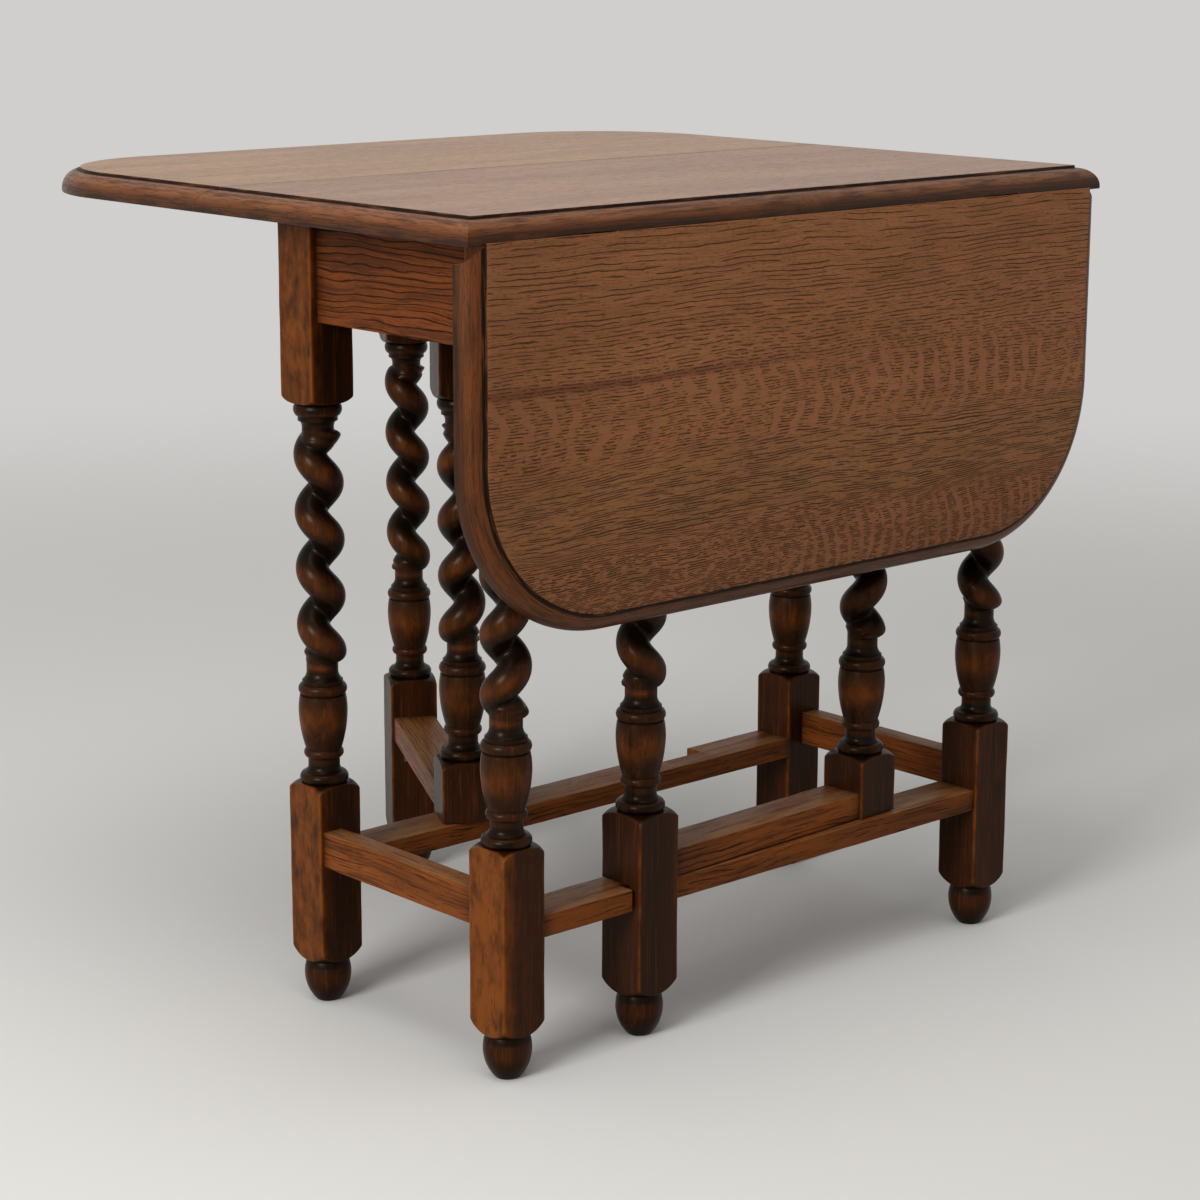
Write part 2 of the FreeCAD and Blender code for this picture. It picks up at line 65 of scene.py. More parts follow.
lower_block_bottom = 51
lower_block_top = 197.6
upper_block_length = 158.5
post_block_drop = 10
post_turning_drop = 5
foot_shoulder = (12.5, 19)  # height and narrow radius of a block's turned rounding
base_shoulder = (6.4, 21.4)
top_shoulder = (6, 21.4)
shoulder_swell = 1.3
foot_pad_radius = 10.5
foot_neck_radius = 18.6
foot_swell = 5.7

neck_radius = 14
collar_radius = 19.2
collar_swell = 2.3
lip_radius = 16  # slight lip where a neck meets the windings
lip_height = 6
lip_hollow = 0.5
lower_neck_height = 10
upper_neck_height = 4.5
upper_cove_height = 7.3
upper_step_height = 4.5
top_collar_height = 11.2

twist_pitch = 50.4
twist_rod_radius = 14.4
twist_offset = 7.4
twist_run_out = 9
twist_run_out_swell = 2
twist_root = 1

end_stretcher = (21.6, 32.4, 132, 3.7)  # thickness, height, bottom, set back from the legs
long_stretcher = (44, 19.7, 121.5, 2.5)
apron_thickness = 20
apron_height = 92.5
end_apron_set_back = 7.6
gate_radius = 289
pivot_x = 144
pivot_y = 114.5
gate_rail = (42, 23.5)  # width and height
gate_gap = 1.5
gate_lap_clearance = 0.8
gate_lap_side_clearance = 3
gate_top_clearance = 0.3
gate_angle = {-1: 2.15, 1: 61}  # near, far
hinge_x = 245
hinge_width = 38
hinge_knuckle_radius = 2.5
hinge_clearance = 0.3
hinge_lift = 0.65  # room over a flap for a leaf that is lifted off its gate
hinge_thickness = 2
hinge_top_flap = 27
hinge_leaf_flap = 54

# ---- values that follow ----
underside = table_height - top_thickness
pin_z = table_height - quirk_depth - ovolo_radius
crown = pin_z + ovolo_radius
half_top = top_length / 2
leg_x = (frame_length - leg_square) / 2
leg_y = (frame_width - leg_square) / 2
upper_block_bottom = underside - upper_block_length
apron_bottom = underside - apron_height
stretcher_top = long_stretcher[2] + long_stretcher[1]
post_bottom = stretcher_top + gate_gap
post_top = apron_bottom - gate_gap
closed_x = pivot_x - gate_radius
lap_plane = pivot_y + apron_thickness / 2
row_shift = (leaf_reach - quirk_depth - ovolo_radius) / 2

SIDES = ((-1, "near"), (1, "far"))
LENGTHWAYS = (1, 0, 0)
SIDEWAYS = (0, 1, 0)
UP = (0, 0, 1)


def place(x, y, z):
    """Frame-centre millimetres to the row frame in metres."""
    return Vector((x * MM, (y - row_shift) * MM, z * MM))


# ---- mesh helpers ----
noise.seed_set(1)  # noise_vector draws its offsets from this seed
spare = 10  # how far a cutting solid runs on past what it cuts


def add_object(name, data):
    obj = bpy.data.objects.new(name, data)
    bpy.context.scene.collection.objects.link(obj)
    return obj


def new_object(name, vertices, faces, smooth=True):
    """Vertices in frame-centre millimetres."""
    mesh = bpy.data.meshes.new(name)
    mesh.from_pydata([tuple(place(*v)) for v in vertices], [], faces)
    mesh.polygons.foreach_set("use_smooth", [smooth] * len(mesh.polygons))
    return add_object(name, mesh)


def store(obj, name, values, kind="FLOAT"):
    """A number or a vector for each vertex, which the materials read."""
    attribute = obj.data.attributes.new(name, kind, "POINT")
    key = "value" if kind == "FLOAT" else "vector"
    attribute.data.foreach_set(key, np.asarray(values, np.float32).ravel())


def mesh_points(obj):
    points = np.zeros(len(obj.data.vertices) * 3, np.float32)
    obj.data.vertices.foreach_get("co", points)
    return points.reshape(-1, 3)


def subtract(obj, *cutters):
    """Cuts with exact booleans and bakes them into the mesh."""
    for cutter in cutters:
        cut = obj.modifiers.new("cut", "BOOLEAN")
        cut.operation = "DIFFERENCE"
        cut.solver = "EXACT"
        cut.object = cutter
    graph = bpy.context.evaluated_depsgraph_get()
    mesh = bpy.data.meshes.new_from_object(obj.evaluated_get(graph))
    obj.modifiers.clear()
    old = obj.data
    obj.data = mesh
    bpy.data.meshes.remove(old)
    for cutter in cutters:
        bpy.data.objects.remove(cutter)


def sharpen(obj, degrees):
    """Smooth shading that breaks at real edges."""
    obj.data.set_sharp_from_angle(angle=radians(degrees))


def about(middle, half):
    """The range that reaches `half` to either side of its middle."""
    return middle - half, middle + half


def arc(x, y, radius, start, sweep, steps):
    """Points round a centre, without the last."""
    angles = [start + sweep * i / steps for i in range(steps)]
    return [(x + radius * cos(a), y + radius * sin(a)) for a in angles]


def circle(x, y, radius, corners):
    return arc(x, y, radius, 0, tau, corners)


def skin(loops, count):
    """Faces between closed loops of `count` points, one above the other, and their two end faces."""
    last = count * (loops - 1)
    walls = [(i + j, i + (j + 1) % count, i + count + (j + 1) % count, i + count + j)
             for i in range(0, last, count) for j in range(count)]
    return walls, [tuple(range(count))[::-1], tuple(range(last, last + count))]


def prism(name, outline, x0, x1):
    """Closed solid: an outline of (y, z) points, anticlockwise, drawn from x0 up to x1."""
    vertices = [(x0, y, z) for y, z in outline] + [(x1, y, z) for y, z in outline]
    walls, ends = skin(2, len(outline))
    return new_object(name, vertices, ends + walls, smooth=False)


def box(name, xs, ys, zs):
    """A block between its lowest and highest x, y and z."""
    (y0, y1), (z0, z1) = ys, zs
    return prism(name, [(y0, z0), (y1, z0), (y1, z1), (y0, z1)], *xs)


def turn(obj, degrees, centre=(0, 0, 0), axis="Z"):
    """Turns the mesh itself about a line through a point given in millimetres."""
    point = place(*centre)
    move = Matrix.Translation(point) @ Matrix.Rotation(radians(degrees), 4, axis)
    obj.data.transform(move @ Matrix.Translation(-point))
    return obj


def opposite(obj):
    return turn(obj, 180)


def hang(obj):
    """A piece of the raised far leaf, taken to the near side and let down."""
    opposite(obj)
    return turn(obj, 90, (0, -joint_half, pin_z), "X")


# ---- wood coordinates ----
def wood_axes(obj, along, across, seed):
    """Stores each point's place in its own plank, in millimetres: along the grain, across, through.

    "plank" is measured from the middle of the piece. "wood" has the piece's own offset, which keeps
    the figure different from piece to piece.
    """
    points = mesh_points(obj)
    first = np.array(along, np.float32)
    second = np.array(across, np.float32)
    centre = (points.min(0) + points.max(0)) / 2
    local = (points - centre) @ np.stack([first, second, np.cross(first, second)], 1) / MM
    lowest, highest = (-3000, 40, -30), (3000, 110, 30)
    offset = np.random.default_rng(seed).uniform(lowest, highest)
    store(obj, "plank", local, "FLOAT_VECTOR")
    store(obj, "wood", local + offset, "FLOAT_VECTOR")


def finish_piece(obj, body, slot, node, along, across, seed, *materials):
    wood_axes(obj, along, across, seed)
    for material in materials:
        obj.data.materials.append(material)
    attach(obj, body)
    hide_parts(node)


# ---- turned uprights ----
class Profile:
    """A turner's half section as (radius, height) points, with arcs sampled finely."""

    arc_step = 0.45
    line_step = 2.5

    def __init__(self, r, z):
        self.points = [(r, z)]

    @property
    def z(self):
        return self.points[-1][1]

    def line(self, r, z, step=line_step):
        r0, z0 = self.points[-1]
        count = max(1, int(hypot(r - r0, z - z0) / step))
        for i in range(1, count + 1):
            self.points.append((r0 + (r - r0) * i / count, z0 + (z - z0) * i / count))
        return self

    def bulge(self, r, z, out):
        """An arc to (r, z) that stands `out` beyond the straight line; negative is hollow."""
        r0, z0 = self.points[-1]
        chord = hypot(r - r0, z - z0)
        radius = (chord ** 2 / 4 + out ** 2) / (2 * abs(out))
        along_r, along_z = (r - r0) / chord, (z - z0) / chord
        half = asin(min(1, chord / 2 / radius))
        count = max(4, int(2 * half * radius / self.arc_step))
        for i in range(1, count + 1):
            angle = half * (2 * i / count - 1)
            along = sin(angle) * radius
            side = copysign(radius * cos(angle) - (radius - abs(out)), out)
            self.points.append(((r0 + r) / 2 + along_r * along + along_z * side,
                                (z0 + z) / 2 + along_z * along - along_r * side))
        return self

    def rise(self, r, height, out=0):
        if out:
            return self.bulge(r, self.z + height, out)
        return self.line(r, self.z + height)

    def ring(self, r, height, out=0):
        """A turned ring: out or in to radius r, then up over a swelling back to r."""
        return self.line(r, self.z).rise(r, height, out)

    def radius_at(self, levels):
        """Radius at each level of a stretch that only rises; nothing beyond its ends."""
        heights = [z for _, z in self.points]
        return np.interp(levels, heights, [r for r, _ in self.points], left=0, right=0)


core_height = 15  # the domed core that closes the hollow between the ridges
core_swell = 2.6


def lower_turning(z):
    """The turning up to the windings, and the core inside them. Each line is one of its parts."""
    p = Profile(collar_radius, z).rise(collar_radius, 9, collar_swell)  # base collar
    p.line(18.8, p.z).rise(neck_radius, 6.3, -1.3).rise(neck_radius, 7.7)  # cove and base neck
    p.ring(15.6, 7.8, 2)  # ring
    p.line(15.8, p.z).rise(21.6, 33.7, 1.2).rise(20.3, 15.1, 0.4)  # vase
    p.ring(18.6, 1)  # groove
    p.ring(collar_radius, 9.2, collar_swell)  # collar
    p.ring(18, 3.4)  # step
    p.rise(neck_radius, 8.8, -1.2)  # cove
    low_lip = p.z + (lower_neck_height + lip_height)
    p.line(neck_radius, low_lip - twist_run_out)  # neck
    core = Profile(neck_radius, low_lip - twist_run_out).rise(neck_radius, twist_run_out - lip_height)
    core.rise(lip_radius, lip_height, -lip_hollow).rise(0, core_height, core_swell)
    return p, core, low_lip


def upper_turning(top):
    """The same above the windings: core and neck, then cove, step and collar."""
    neck_top = top - top_collar_height - upper_step_height - upper_cove_height
    high_lip = neck_top - upper_neck_height - lip_height
    core = Profile(0, high_lip - core_height).rise(lip_radius, core_height, core_swell)
    core.rise(neck_radius, lip_height, -lip_hollow).rise(neck_radius, twist_run_out - lip_height)
    p = Profile(neck_radius, core.z).line(neck_radius, high_lip + (lip_height + upper_neck_height))
    p.rise(16.2, upper_cove_height, -0.9)
    p.ring(17.4, upper_step_height)
    p.ring(18.9, top_collar_height, collar_swell)
    return p, core, high_lip


def corner_angles():
    """Directions round an upright, closer together at a square block's corners."""
    offsets = [0, 0.9, 2, 3.4, 5.2, 7.5, 10.5, 14, 18, 22.5, 27, 31.5, 36, 40.5]
    angles = []
    for corner in (45, 135, 225, 315):
        angles += [corner + o for o in offsets] + [corner - o for o in offsets[1:]] + [corner + 45]
    return np.radians(np.sort(np.array(angles) % 360))


def soft_min(a, b, blend):
    """The smaller of two lengths, rounded over where they meet."""
    low = np.minimum(a, b)
    return low - blend * np.log(np.exp((low - a) / blend) + np.exp((low - b) / blend))


def soft_max(a, b, blend):
    return -soft_min(-a, -b, blend)


def block_rows(theta, square, limits, seed):
    """A square block rounded over in the lathe at its turned ends, with softly worn arrises."""
    half = square / 2
    across = half / np.maximum(np.abs(np.cos(theta)), 1e-6)
    along = half / np.maximum(np.abs(np.sin(theta)), 1e-6)
    sharpest, shoulder_blend = 0.35, 0.25
    rows = []
    for limit, z in limits:
        wear = 0.8 + 0.6 * noise.noise(Vector((z / 30, seed * 7.3, 0.5)))
        worn_square = soft_min(across, along, max(sharpest, wear))
        rows.append(soft_min(worn_square, np.full_like(theta, limit), shoulder_blend))
    return rows


def block_limits(square, bottom, top, below=None, above=None):
    """Heights up a block, with the radius that its turned ends leave at each."""
    corner = square / sqrt(2)
    clear = corner + 4  # no limit between the ends
    opening, step = 1.5, 9
    p = Profile(clear, bottom)
    if below:
        height, radius = below
        p = Profile(radius, bottom - height).bulge(corner, bottom, shoulder_swell)
        p.line(clear, bottom + opening)
    p.line(clear, top - opening, step)
    if above:
        height, radius = above
        p.line(corner, top).bulge(radius, top + height, shoulder_swell)
        return p.points
    return p.line(clear, top).points


def winding_rows(theta, levels, low_lip, hand, angle):
    """Outer radius of a round rod wound about the axis."""
    around = np.linspace(-0.75, 0.75, 181)  # turns of the rod that can reach a level
    rows = []
    for z in levels:
        height = z + around * twist_pitch
        ridge = radians(angle) + hand * 2 * pi * (height - low_lip) / twist_pitch
        delta = ridge[None, :] - theta[:, None]
        off_axis = twist_offset * np.sin(delta)
        inside = twist_rod_radius ** 2 - off_axis ** 2 - (z - height)[None, :] ** 2
        reach = twist_offset * np.cos(delta) + np.sqrt(np.maximum(inside, 0))
        rows.append(np.where(inside > 0, reach, 0).max(1))
    rows = np.array(rows)
    for _ in range(3):
        rows[1:-1] = 0.25 * rows[:-2] + 0.5 * rows[1:-1] + 0.25 * rows[2:]
    return rows


def twist_rows(theta, low_core, high_core, low_lip, high_lip, hand, angle):
    """The windings, their ends rounded over into the necks and their hollows closed by the cores."""
    spacing, end_blend, core_blend = 1.2, 0.7, 0.6
    bottom, top = low_lip - twist_run_out, high_lip + twist_run_out
    count = int((top - bottom) / spacing)
    levels = [bottom + (top - bottom) * i / count for i in range(count + 1)]
    full = twist_offset + twist_rod_radius + 1
    root = neck_radius - twist_root
    ends = Profile(root, bottom).bulge(full, low_lip, twist_run_out_swell).line(full, high_lip)
    ends.bulge(root, top, twist_run_out_swell)
    wound = winding_rows(theta, levels, low_lip, hand, angle)
    wound = soft_min(wound, ends.radius_at(levels)[:, None], end_blend)
    core = np.maximum(low_core.radius_at(levels), high_core.radius_at(levels))
    return soft_max(wound, core[:, None], core_blend), levels


def hollow_amount(rows, heights):
    """0 on what stands out along an upright, towards 1 down in the turned hollows, which are darkened
    there as painted shade with old polish.
    """
    nearby, free, full = 8, 0.12, 4
    outermost = np.array([rows[np.abs(heights - z) < nearby].max(0) for z in heights])
    return np.clip((outermost - rows) / full - free, 0, 1)


def bell(value, middle, width):
    """1 at the middle, falling away softly to either side."""
    return np.exp(-((value - middle) / width) ** 2)


def upright(name, x, y, square, lower_top, upper_bottom, upper_top, hand, angle, seed,
            faded_and_painted_light=(0, 0), standing=True):
    """Foot, lower block, vase turning, twist, collar and upper block as one closed mesh.

    "wear" is 1 where the stain is rubbed through, and on the blocks it also carries painted light and
    painted highlight; "hollow" is 1 where old polish and painted shade lie dark.
    The blocks' left and front faces are lightened by a pair of amounts, partly for bleaching by
    daylight and partly as painted light on the faces towards the window lamp.
    """
    theta = corner_angles()
    rows, heights, wear = [], [], []

    def add(*parts):
        for whole, part in zip((rows, heights, wear), parts):
            whole.extend(part)

    def add_turned(profile, amount):
        levels = np.array([z for _, z in profile.points])
        add([np.full_like(theta, r) for r, _ in profile.points], levels, amount(levels))

    def add_block(limits):
        # Lighter left and front faces: partly bleached, partly painted light towards the window lamp.
        left = np.clip(-np.cos(theta) * 1.6 - 0.5, 0, 1) * faded_and_painted_light[0]
        front = np.clip(-np.sin(theta) * 1.6 - 0.5, 0, 1) * faded_and_painted_light[1]
        # Arrises: worn pale, with a painted highlight along them.
        from_corner = np.degrees(np.abs((theta + pi / 4) % (pi / 2) - pi / 4))
        arris_wear_and_highlight = 0.4 * bell(from_corner, 45, 3)
        levels = [z for _, z in limits]
        add(block_rows(theta, square, limits, seed), levels, [0.1 + left + front + arris_wear_and_highlight] * len(levels))

    if standing:
        ball = Profile(foot_pad_radius, 0)
        ball.bulge(foot_neck_radius, lower_block_bottom - foot_shoulder[0], foot_swell)
        add_turned(ball, lambda z: 0.2 * bell(z, 24, 9))
        add_block(block_limits(square, lower_block_bottom, lower_top, foot_shoulder, base_shoulder))
    else:
        add_block(block_limits(square, post_bottom, lower_top, None, base_shoulder))

    low, low_core, low_lip = lower_turning(lower_top + base_shoulder[0])
    high, high_core, high_lip = upper_turning(upper_bottom - top_shoulder[0])
    vase = low_lip - 60
    neck = low_lip - 12
    base_neck = low_lip - 98
    add_turned(low, lambda z: (0.42 * bell(z, vase, 17) + 0.4 * bell(z, neck, 5)
                               + 0.45 * bell(z, base_neck, 4)))
    windings, levels = twist_rows(theta, low_core, high_core, low_lip, high_lip, hand, angle)
    add(windings, levels, 0.36 * np.clip((windings - 18) / 3.8, 0, 1))
    add_turned(high, lambda z: np.full_like(z, 0.15))
    add_block(block_limits(square, upper_bottom, upper_top, top_shoulder, None))

    rows, heights = np.array(rows), np.array(heights)
    vertices = [(x + r * cos(t), y + r * sin(t), z)
                for row, z in zip(rows, heights) for r, t in zip(row, theta)]
    walls, ends = skin(len(rows), len(theta))
    obj = new_object(name, vertices, walls + ends)
    for end in obj.data.polygons[-2:]:
        end.use_smooth = False
    sharpen(obj, 50)
    store(obj, "wear", np.array([np.broadcast_to(w, theta.shape) for w in wear]))
    # Painted shade with old polish: darkness in the twist's valleys and the turned hollows.
    in_twist = (heights > low_lip) & (heights < high_lip)
    valley_shade = np.clip((20.5 - rows) / 10, 0, 0.85) * in_twist[:, None]
    store(obj, "hollow", np.maximum(hollow_amount(rows, heights), valley_shade))
    return obj


# ---- rails ----
bar_arris = 1.2
hidden_end = 3  # how far a rail's ends run on into the legs


def worn_bar(name, xs, ys, zs, seed, shown):
    """A sawn and planed bar with softened arrises and a little unevenness along them.

    Its top is rubbed pale and given a painted sheen, and it is darker where it meets the legs, with
    polish and painted shade. `shown` is its length between them, where its ends are hidden in them.
    """
    cell, dark_reach, patch, unevenness = 8, 6, 45, 0.22
    obj = box(name, xs, ys, zs)
    bm = bmesh.new()
    bm.from_mesh(obj.data)
    long_axis = 0 if xs[1] - xs[0] > ys[1] - ys[0] else 1
    longest = max(xs[1] - xs[0], ys[1] - ys[0])
    edges = [e for e in bm.edges if e.calc_length() > 0.9 * longest * MM]
    bmesh.ops.subdivide_edges(bm, edges=edges, cuts=int(longest / cell), use_grid_fill=True)
    hard = [e for e in bm.edges if len(e.link_faces) == 2 and e.calc_face_angle() > 1]
    bmesh.ops.bevel(bm, geom=hard, offset=bar_arris * MM, segments=3, profile=0.5, affect="EDGES")
    middle = sum(v.co[long_axis] for v in bm.verts) / len(bm.verts)
    half = shown / 2 * MM
    top = max(v.co.z for v in bm.verts)
    # Top faces: rubbed pale, and a painted sheen.
    wear = [v.co.z > top - 0.3 * bar_arris * MM for v in bm.verts]
    # Darker towards the legs: polish and painted shade.
    to_leg = [max(0, half - abs(v.co[long_axis] - middle)) for v in bm.verts]
    hollow = [exp(-reach / (dark_reach * MM)) for reach in to_leg]
    for v in bm.verts:
        v.co += noise.noise_vector(v.co * patch + Vector((seed, 0, 0))) * unevenness * MM
    bm.to_mesh(obj.data)
    bm.free()
    obj.data.polygons.foreach_set("use_smooth", [True] * len(obj.data.polygons))
    sharpen(obj, 40)
    store(obj, "wear", wear)
    store(obj, "hollow", hollow)
    return obj


# ---- top and leaves ----
FLAT, QUIRK, EDGE = 0, 1, 2


def edge_section():
    """(inset, height, kind of surface) from the underside round the ovolo and quirk to the flat."""
    ease, steps = 0.4, 16
    points = [(ease, underside, FLAT), (0, underside + ease, EDGE), (0, pin_z, EDGE)]
    for i in range(1, steps + 1):
        a = pi / 2 * i / steps
        kind = QUIRK if i >= steps - 1 else EDGE
        points.append((ovolo_radius * (1 - cos(a)), pin_z + ovolo_radius * sin(a), kind))
    return points + [
        (ovolo_radius + 0.15, crown + 0.2, QUIRK),
        (ovolo_radius + 0.2, table_height - 0.7, QUIRK),
        (ovolo_radius + 0.5, table_height - 0.15, QUIRK),
        (ovolo_radius + 1.1, table_height, FLAT),
        (ovolo_radius + 6, table_height, FLAT),
    ]


def moulded_slab(name, ring, materials):
    """Slab whose rim follows ring(inset), a closed loop of (x, y), through the edge's section."""
    section = edge_section()
    loops = [[(x, y, z) for x, y in ring(inset)] for inset, z, _ in section]
    count = len(loops[0])
    walls, ends = skin(len(loops), count)
    obj = new_object(name, [v for loop in loops for v in loop], walls + ends)
    for material in materials:
        obj.data.materials.append(material)
    kinds = [kind for _, _, kind in section[1:] for _ in range(count)] + [FLAT, FLAT]
    obj.data.polygons.foreach_set("material_index", kinds)
    return obj


def run(start, end, count):
    """Points from start to end in equal steps, without the end itself."""
    return [(start[0] + (end[0] - start[0]) * t / count, start[1] + (end[1] - start[1]) * t / count)
            for t in range(count)]


def top_ring(inset):
    """The fixed top's outline."""
    x, y = half_top - inset, joint_half + ovolo_radius - inset
    corners = [(-x, -y), (x, -y), (x, y), (-x, y)]
    return [point for i in range(4) for point in run(corners[i - 4], corners[i - 3], 30)]


def leaf_ring(inset):
    """Leaf outline, run on past the joint line, where it is cut back."""
    x = half_top - inset
    far = joint_half + leaf_reach - inset
    r = leaf_corner_radius - inset
    near = joint_half - 60
    side_steps, end_steps, corner_steps = 20, 24, 36
    return (run((x, near), (x, far - r), side_steps)
            + arc(x - r, far - r, r, 0, pi / 2, corner_steps)
            + run((x - r, far), (r - x, far), end_steps)
            + arc(r - x, far - r, r, pi / 2, pi / 2, corner_steps)
            + run((-x, far - r), (-x, near), side_steps)
            + run((-x, near), (x, near), end_steps))


def rim_coordinates(obj, corner, half_y):
    """Stores "rim": how far along the moulded edge a point lies, and how far up its section."""
    points = mesh_points(obj) / MM
    x = np.abs(points[:, 0])
    y = np.abs(points[:, 1] + row_shift)
    over_x = x - (half_top - corner)
    over_y = y - (half_y - corner)
    turned = corner * np.arctan2(np.maximum(over_y, 1e-6), np.maximum(over_x, 1e-6))
    past = corner * pi / 2 + (half_top - corner - x)
    rounded = (over_x > 0) & (over_y > 0)
    at_end = over_x > over_y
    along = np.where(rounded, turned, np.where(at_end, over_y, past))
    straight_inset = np.where(at_end, half_top - x, half_y - y)
    inset = np.where(rounded, corner - np.hypot(over_x, over_y), straight_inset)
    up = points[:, 2] - underside + inset
    two_ends = np.sign(points[:, 0]) * 50  # the figure differs between them
    store(obj, "rim", np.stack([along, up, two_ends], 1), "FLOAT_VECTOR")


def joint_cutter():
    """Everything on the table's side of the joint: past the open line and under the cove."""
    inner, open_line, outer = -100, joint_half + joint_gap, joint_half + cove_radius
    rise = sqrt(cove_radius ** 2 - joint_gap ** 2)
    points = [(inner, underside - spare), (outer, underside - spare)]
    points += arc(joint_half, pin_z, cove_radius, 0, atan2(rise, joint_gap), 20)
    points += [(open_line, pin_z + rise), (open_line, table_height + spare),
               (inner, table_height + spare)]
    return prism("cutter", points, *about(0, half_top + 2 * spare))


def hinge_cutters(lift=0):
    """Housings for the far hinges' flaps and knuckles, deeper by `lift` over a flap that lifts."""
    half = hinge_width / 2 + hinge_clearance
    inner_end = joint_half - hinge_top_flap - hinge_clearance
    leaf_flap_end = joint_half + hinge_leaf_flap
    cutters = []
    for x in (-hinge_x, hinge_x):
        width = about(x, half)
        cutters.append(box("cutter", width, (inner_end, leaf_flap_end + hinge_clearance),
                           (underside - 5, underside + hinge_thickness + 0.05)))
        bore = circle(joint_half, pin_z, hinge_knuckle_radius + hinge_clearance, 24)
        cutters.append(prism("cutter", bore, *width))
        if lift:
            cutters.append(box("cutter", width, (joint_half, leaf_flap_end),
                               (underside - 6, underside + hinge_thickness + lift)))
    return cutters


def centre_top(materials):
    top = moulded_slab("fixed_top", top_ring, materials)
    near = [opposite(cutter) for cutter in hinge_cutters(hinge_lift)]
    subtract(top, *hinge_cutters(hinge_lift), *near)
    sharpen(top, 30)
    rim_coordinates(top, 0.01, joint_half + ovolo_radius)
    return top


def leaf(name, side, materials):
    slab = moulded_slab(name, leaf_ring, materials)
    subtract(slab, joint_cutter(), *hinge_cutters())
    sharpen(slab, 30)
    rim_coordinates(slab, leaf_corner_radius, joint_half + leaf_reach)
    return hang(slab) if side < 0 else slab


def screw_head(x, y, degrees):
    """A slotted countersunk head, a hair proud of a hinge flap's face."""
    radius, proud, corners = 3.1, 0.3, 20
    loops = [(radius, 0.05), (radius * 0.97, -proud * 0.6), (radius * 0.8, -proud)]
    vertices = [(px, py, underside + z) for r, z in loops for px, py in circle(x, y, r, corners)]
    walls, ends = skin(len(loops), corners)
    downwards = [f[:1] + f[:0:-1] for f in walls] + [f[::-1] for f in ends]
    head = new_object("head", vertices, downwards, smooth=False)
    slot = box("cutter", about(0, 4), about(0, 0.35), (underside - 1, underside - 0.02))
    turn(slot, degrees)
    slot.data.transform(Matrix.Translation(place(x, y, 0) - place(0, 0, 0)))
    subtract(head, slot)
    return head


def screw_heads(name, places):
    """The screws of a pair of hinges as one piece. `places` are measured from each one's pin."""
    heads = [screw_head(hinge + x, joint_half + y, 37 * number + hinge)
             for hinge in (-hinge_x, hinge_x) for number, (x, y) in enumerate(places)]
    bm = bmesh.new()
    for head in heads:
        bm.from_mesh(head.data)
        bpy.data.objects.remove(head)
    joined = new_object(name, [], [])
    bm.to_mesh(joined.data)
    bm.free()
    return joined


# ---- material nodes ----
warm_gloss = (1, 0.74, 0.48, 1)
clear_gloss = (1, 0.9, 0.8, 1)


def linear(colour):
    """An 8-bit screen colour as the linear colour that a shader takes."""
    parts = [value / 255 for value in colour]
    return [c / 12.92 if c <= 0.04045 else ((c + 0.055) / 1.055) ** 2.4 for c in parts] + [1]


class Graph:
    """Short hand for building nodes. A value is a number or another node's socket."""

    def __init__(self, tree):
        self.tree = tree

    def feed(self, sockets, values):
        for socket, value in zip(sockets, values):
            if isinstance(value, bpy.types.NodeSocket):
                self.tree.links.new(value, socket)
            else:
                socket.default_value = value

    def set(self, node, **values):
        """Feeds a node's inputs by name, with _ for each space, and hands back any output."""
        self.feed([node.inputs[name.replace("_", " ")] for name in values], values.values())
        return node.outputs[0] if node.outputs else None

    def node(self, kind, *values, **settings):
        """Makes a node, feeds its inputs in their order and hands back its outputs."""
        made = self.tree.nodes.new("ShaderNode" + kind)
        for key, value in settings.items():
            setattr(made, key, value)
        self.feed(made.inputs, values)
        return made.outputs

    def math(self, operation, *values):
        return self.node("Math", *values, operation=operation)[0]

    def chain(self, operation, first, *rest):
        for value in rest:
            first = self.math(operation, first, value)
        return first

    add = partialmethod(chain, "ADD")
    less = partialmethod(chain, "SUBTRACT")
    times = partialmethod(chain, "MULTIPLY")
    per = partialmethod(chain, "DIVIDE")
    most = partialmethod(chain, "MAXIMUM")
    affine = partialmethod(math, "MULTIPLY_ADD")  # value, factor, what is added

    def smooth(self, value, low, high, to_low=0, to_high=1):
        """A soft step from to_low to to_high while the value goes from low to high."""
        return self.node("MapRange", value, low, high, to_low, to_high,
                         interpolation_type="SMOOTHSTEP")[0]

    def between(self, value, start, end, soft=8):
        """1 from start to end, with soft edges."""
        return self.times(self.smooth(value, start - soft / 2, start + soft / 2),
                          self.smooth(value, end + soft / 2, end - soft / 2))

    def noise(self, vector, sizes=None, detail=2, roughness=0.5):
        """Noise whose blotches measure `sizes` along the vector's three axes."""
        if sizes:
            factors = [1 / size for size in sizes]
            vector = self.node("VectorMath", vector, factors, operation="MULTIPLY")[0]
        fourth_axis, scale = 0, 1
        return self.node("TexNoise", vector, fourth_axis, scale, detail, roughness)[0]

    def sway(self, vector, sizes, width):
        """Noise that wanders over a width, half of it to either side of 0."""
        return self.affine(self.noise(vector, sizes), width, -width / 2)

    def mix(self, factor, a, b):
        """Mixes screen colours, or sockets that carry colours."""
        made = self.tree.nodes.new("ShaderNodeMix")
        made.data_type = "RGBA"
        colours = [linear(c) if isinstance(c, tuple) else c for c in (a, b)]
        self.feed((made.inputs[0], *made.inputs[6:8]), (factor, *colours))
        return made.outputs[2]

    def field(self, name):
        """A vector stored on the mesh."""
        return self.node("Attribute", attribute_name=name)["Vector"]

    def amount(self, name):
        """A number stored on the mesh."""
        return self.node("Attribute", attribute_name=name)["Fac"]

    def object_point(self):
        return self.node("TexCoord")["Object"]

    def parts(self, vector):
        return self.node("SeparateXYZ", vector)

    def join(self, x, y, z=0):
        return self.node("CombineXYZ", x, y, z)[0]


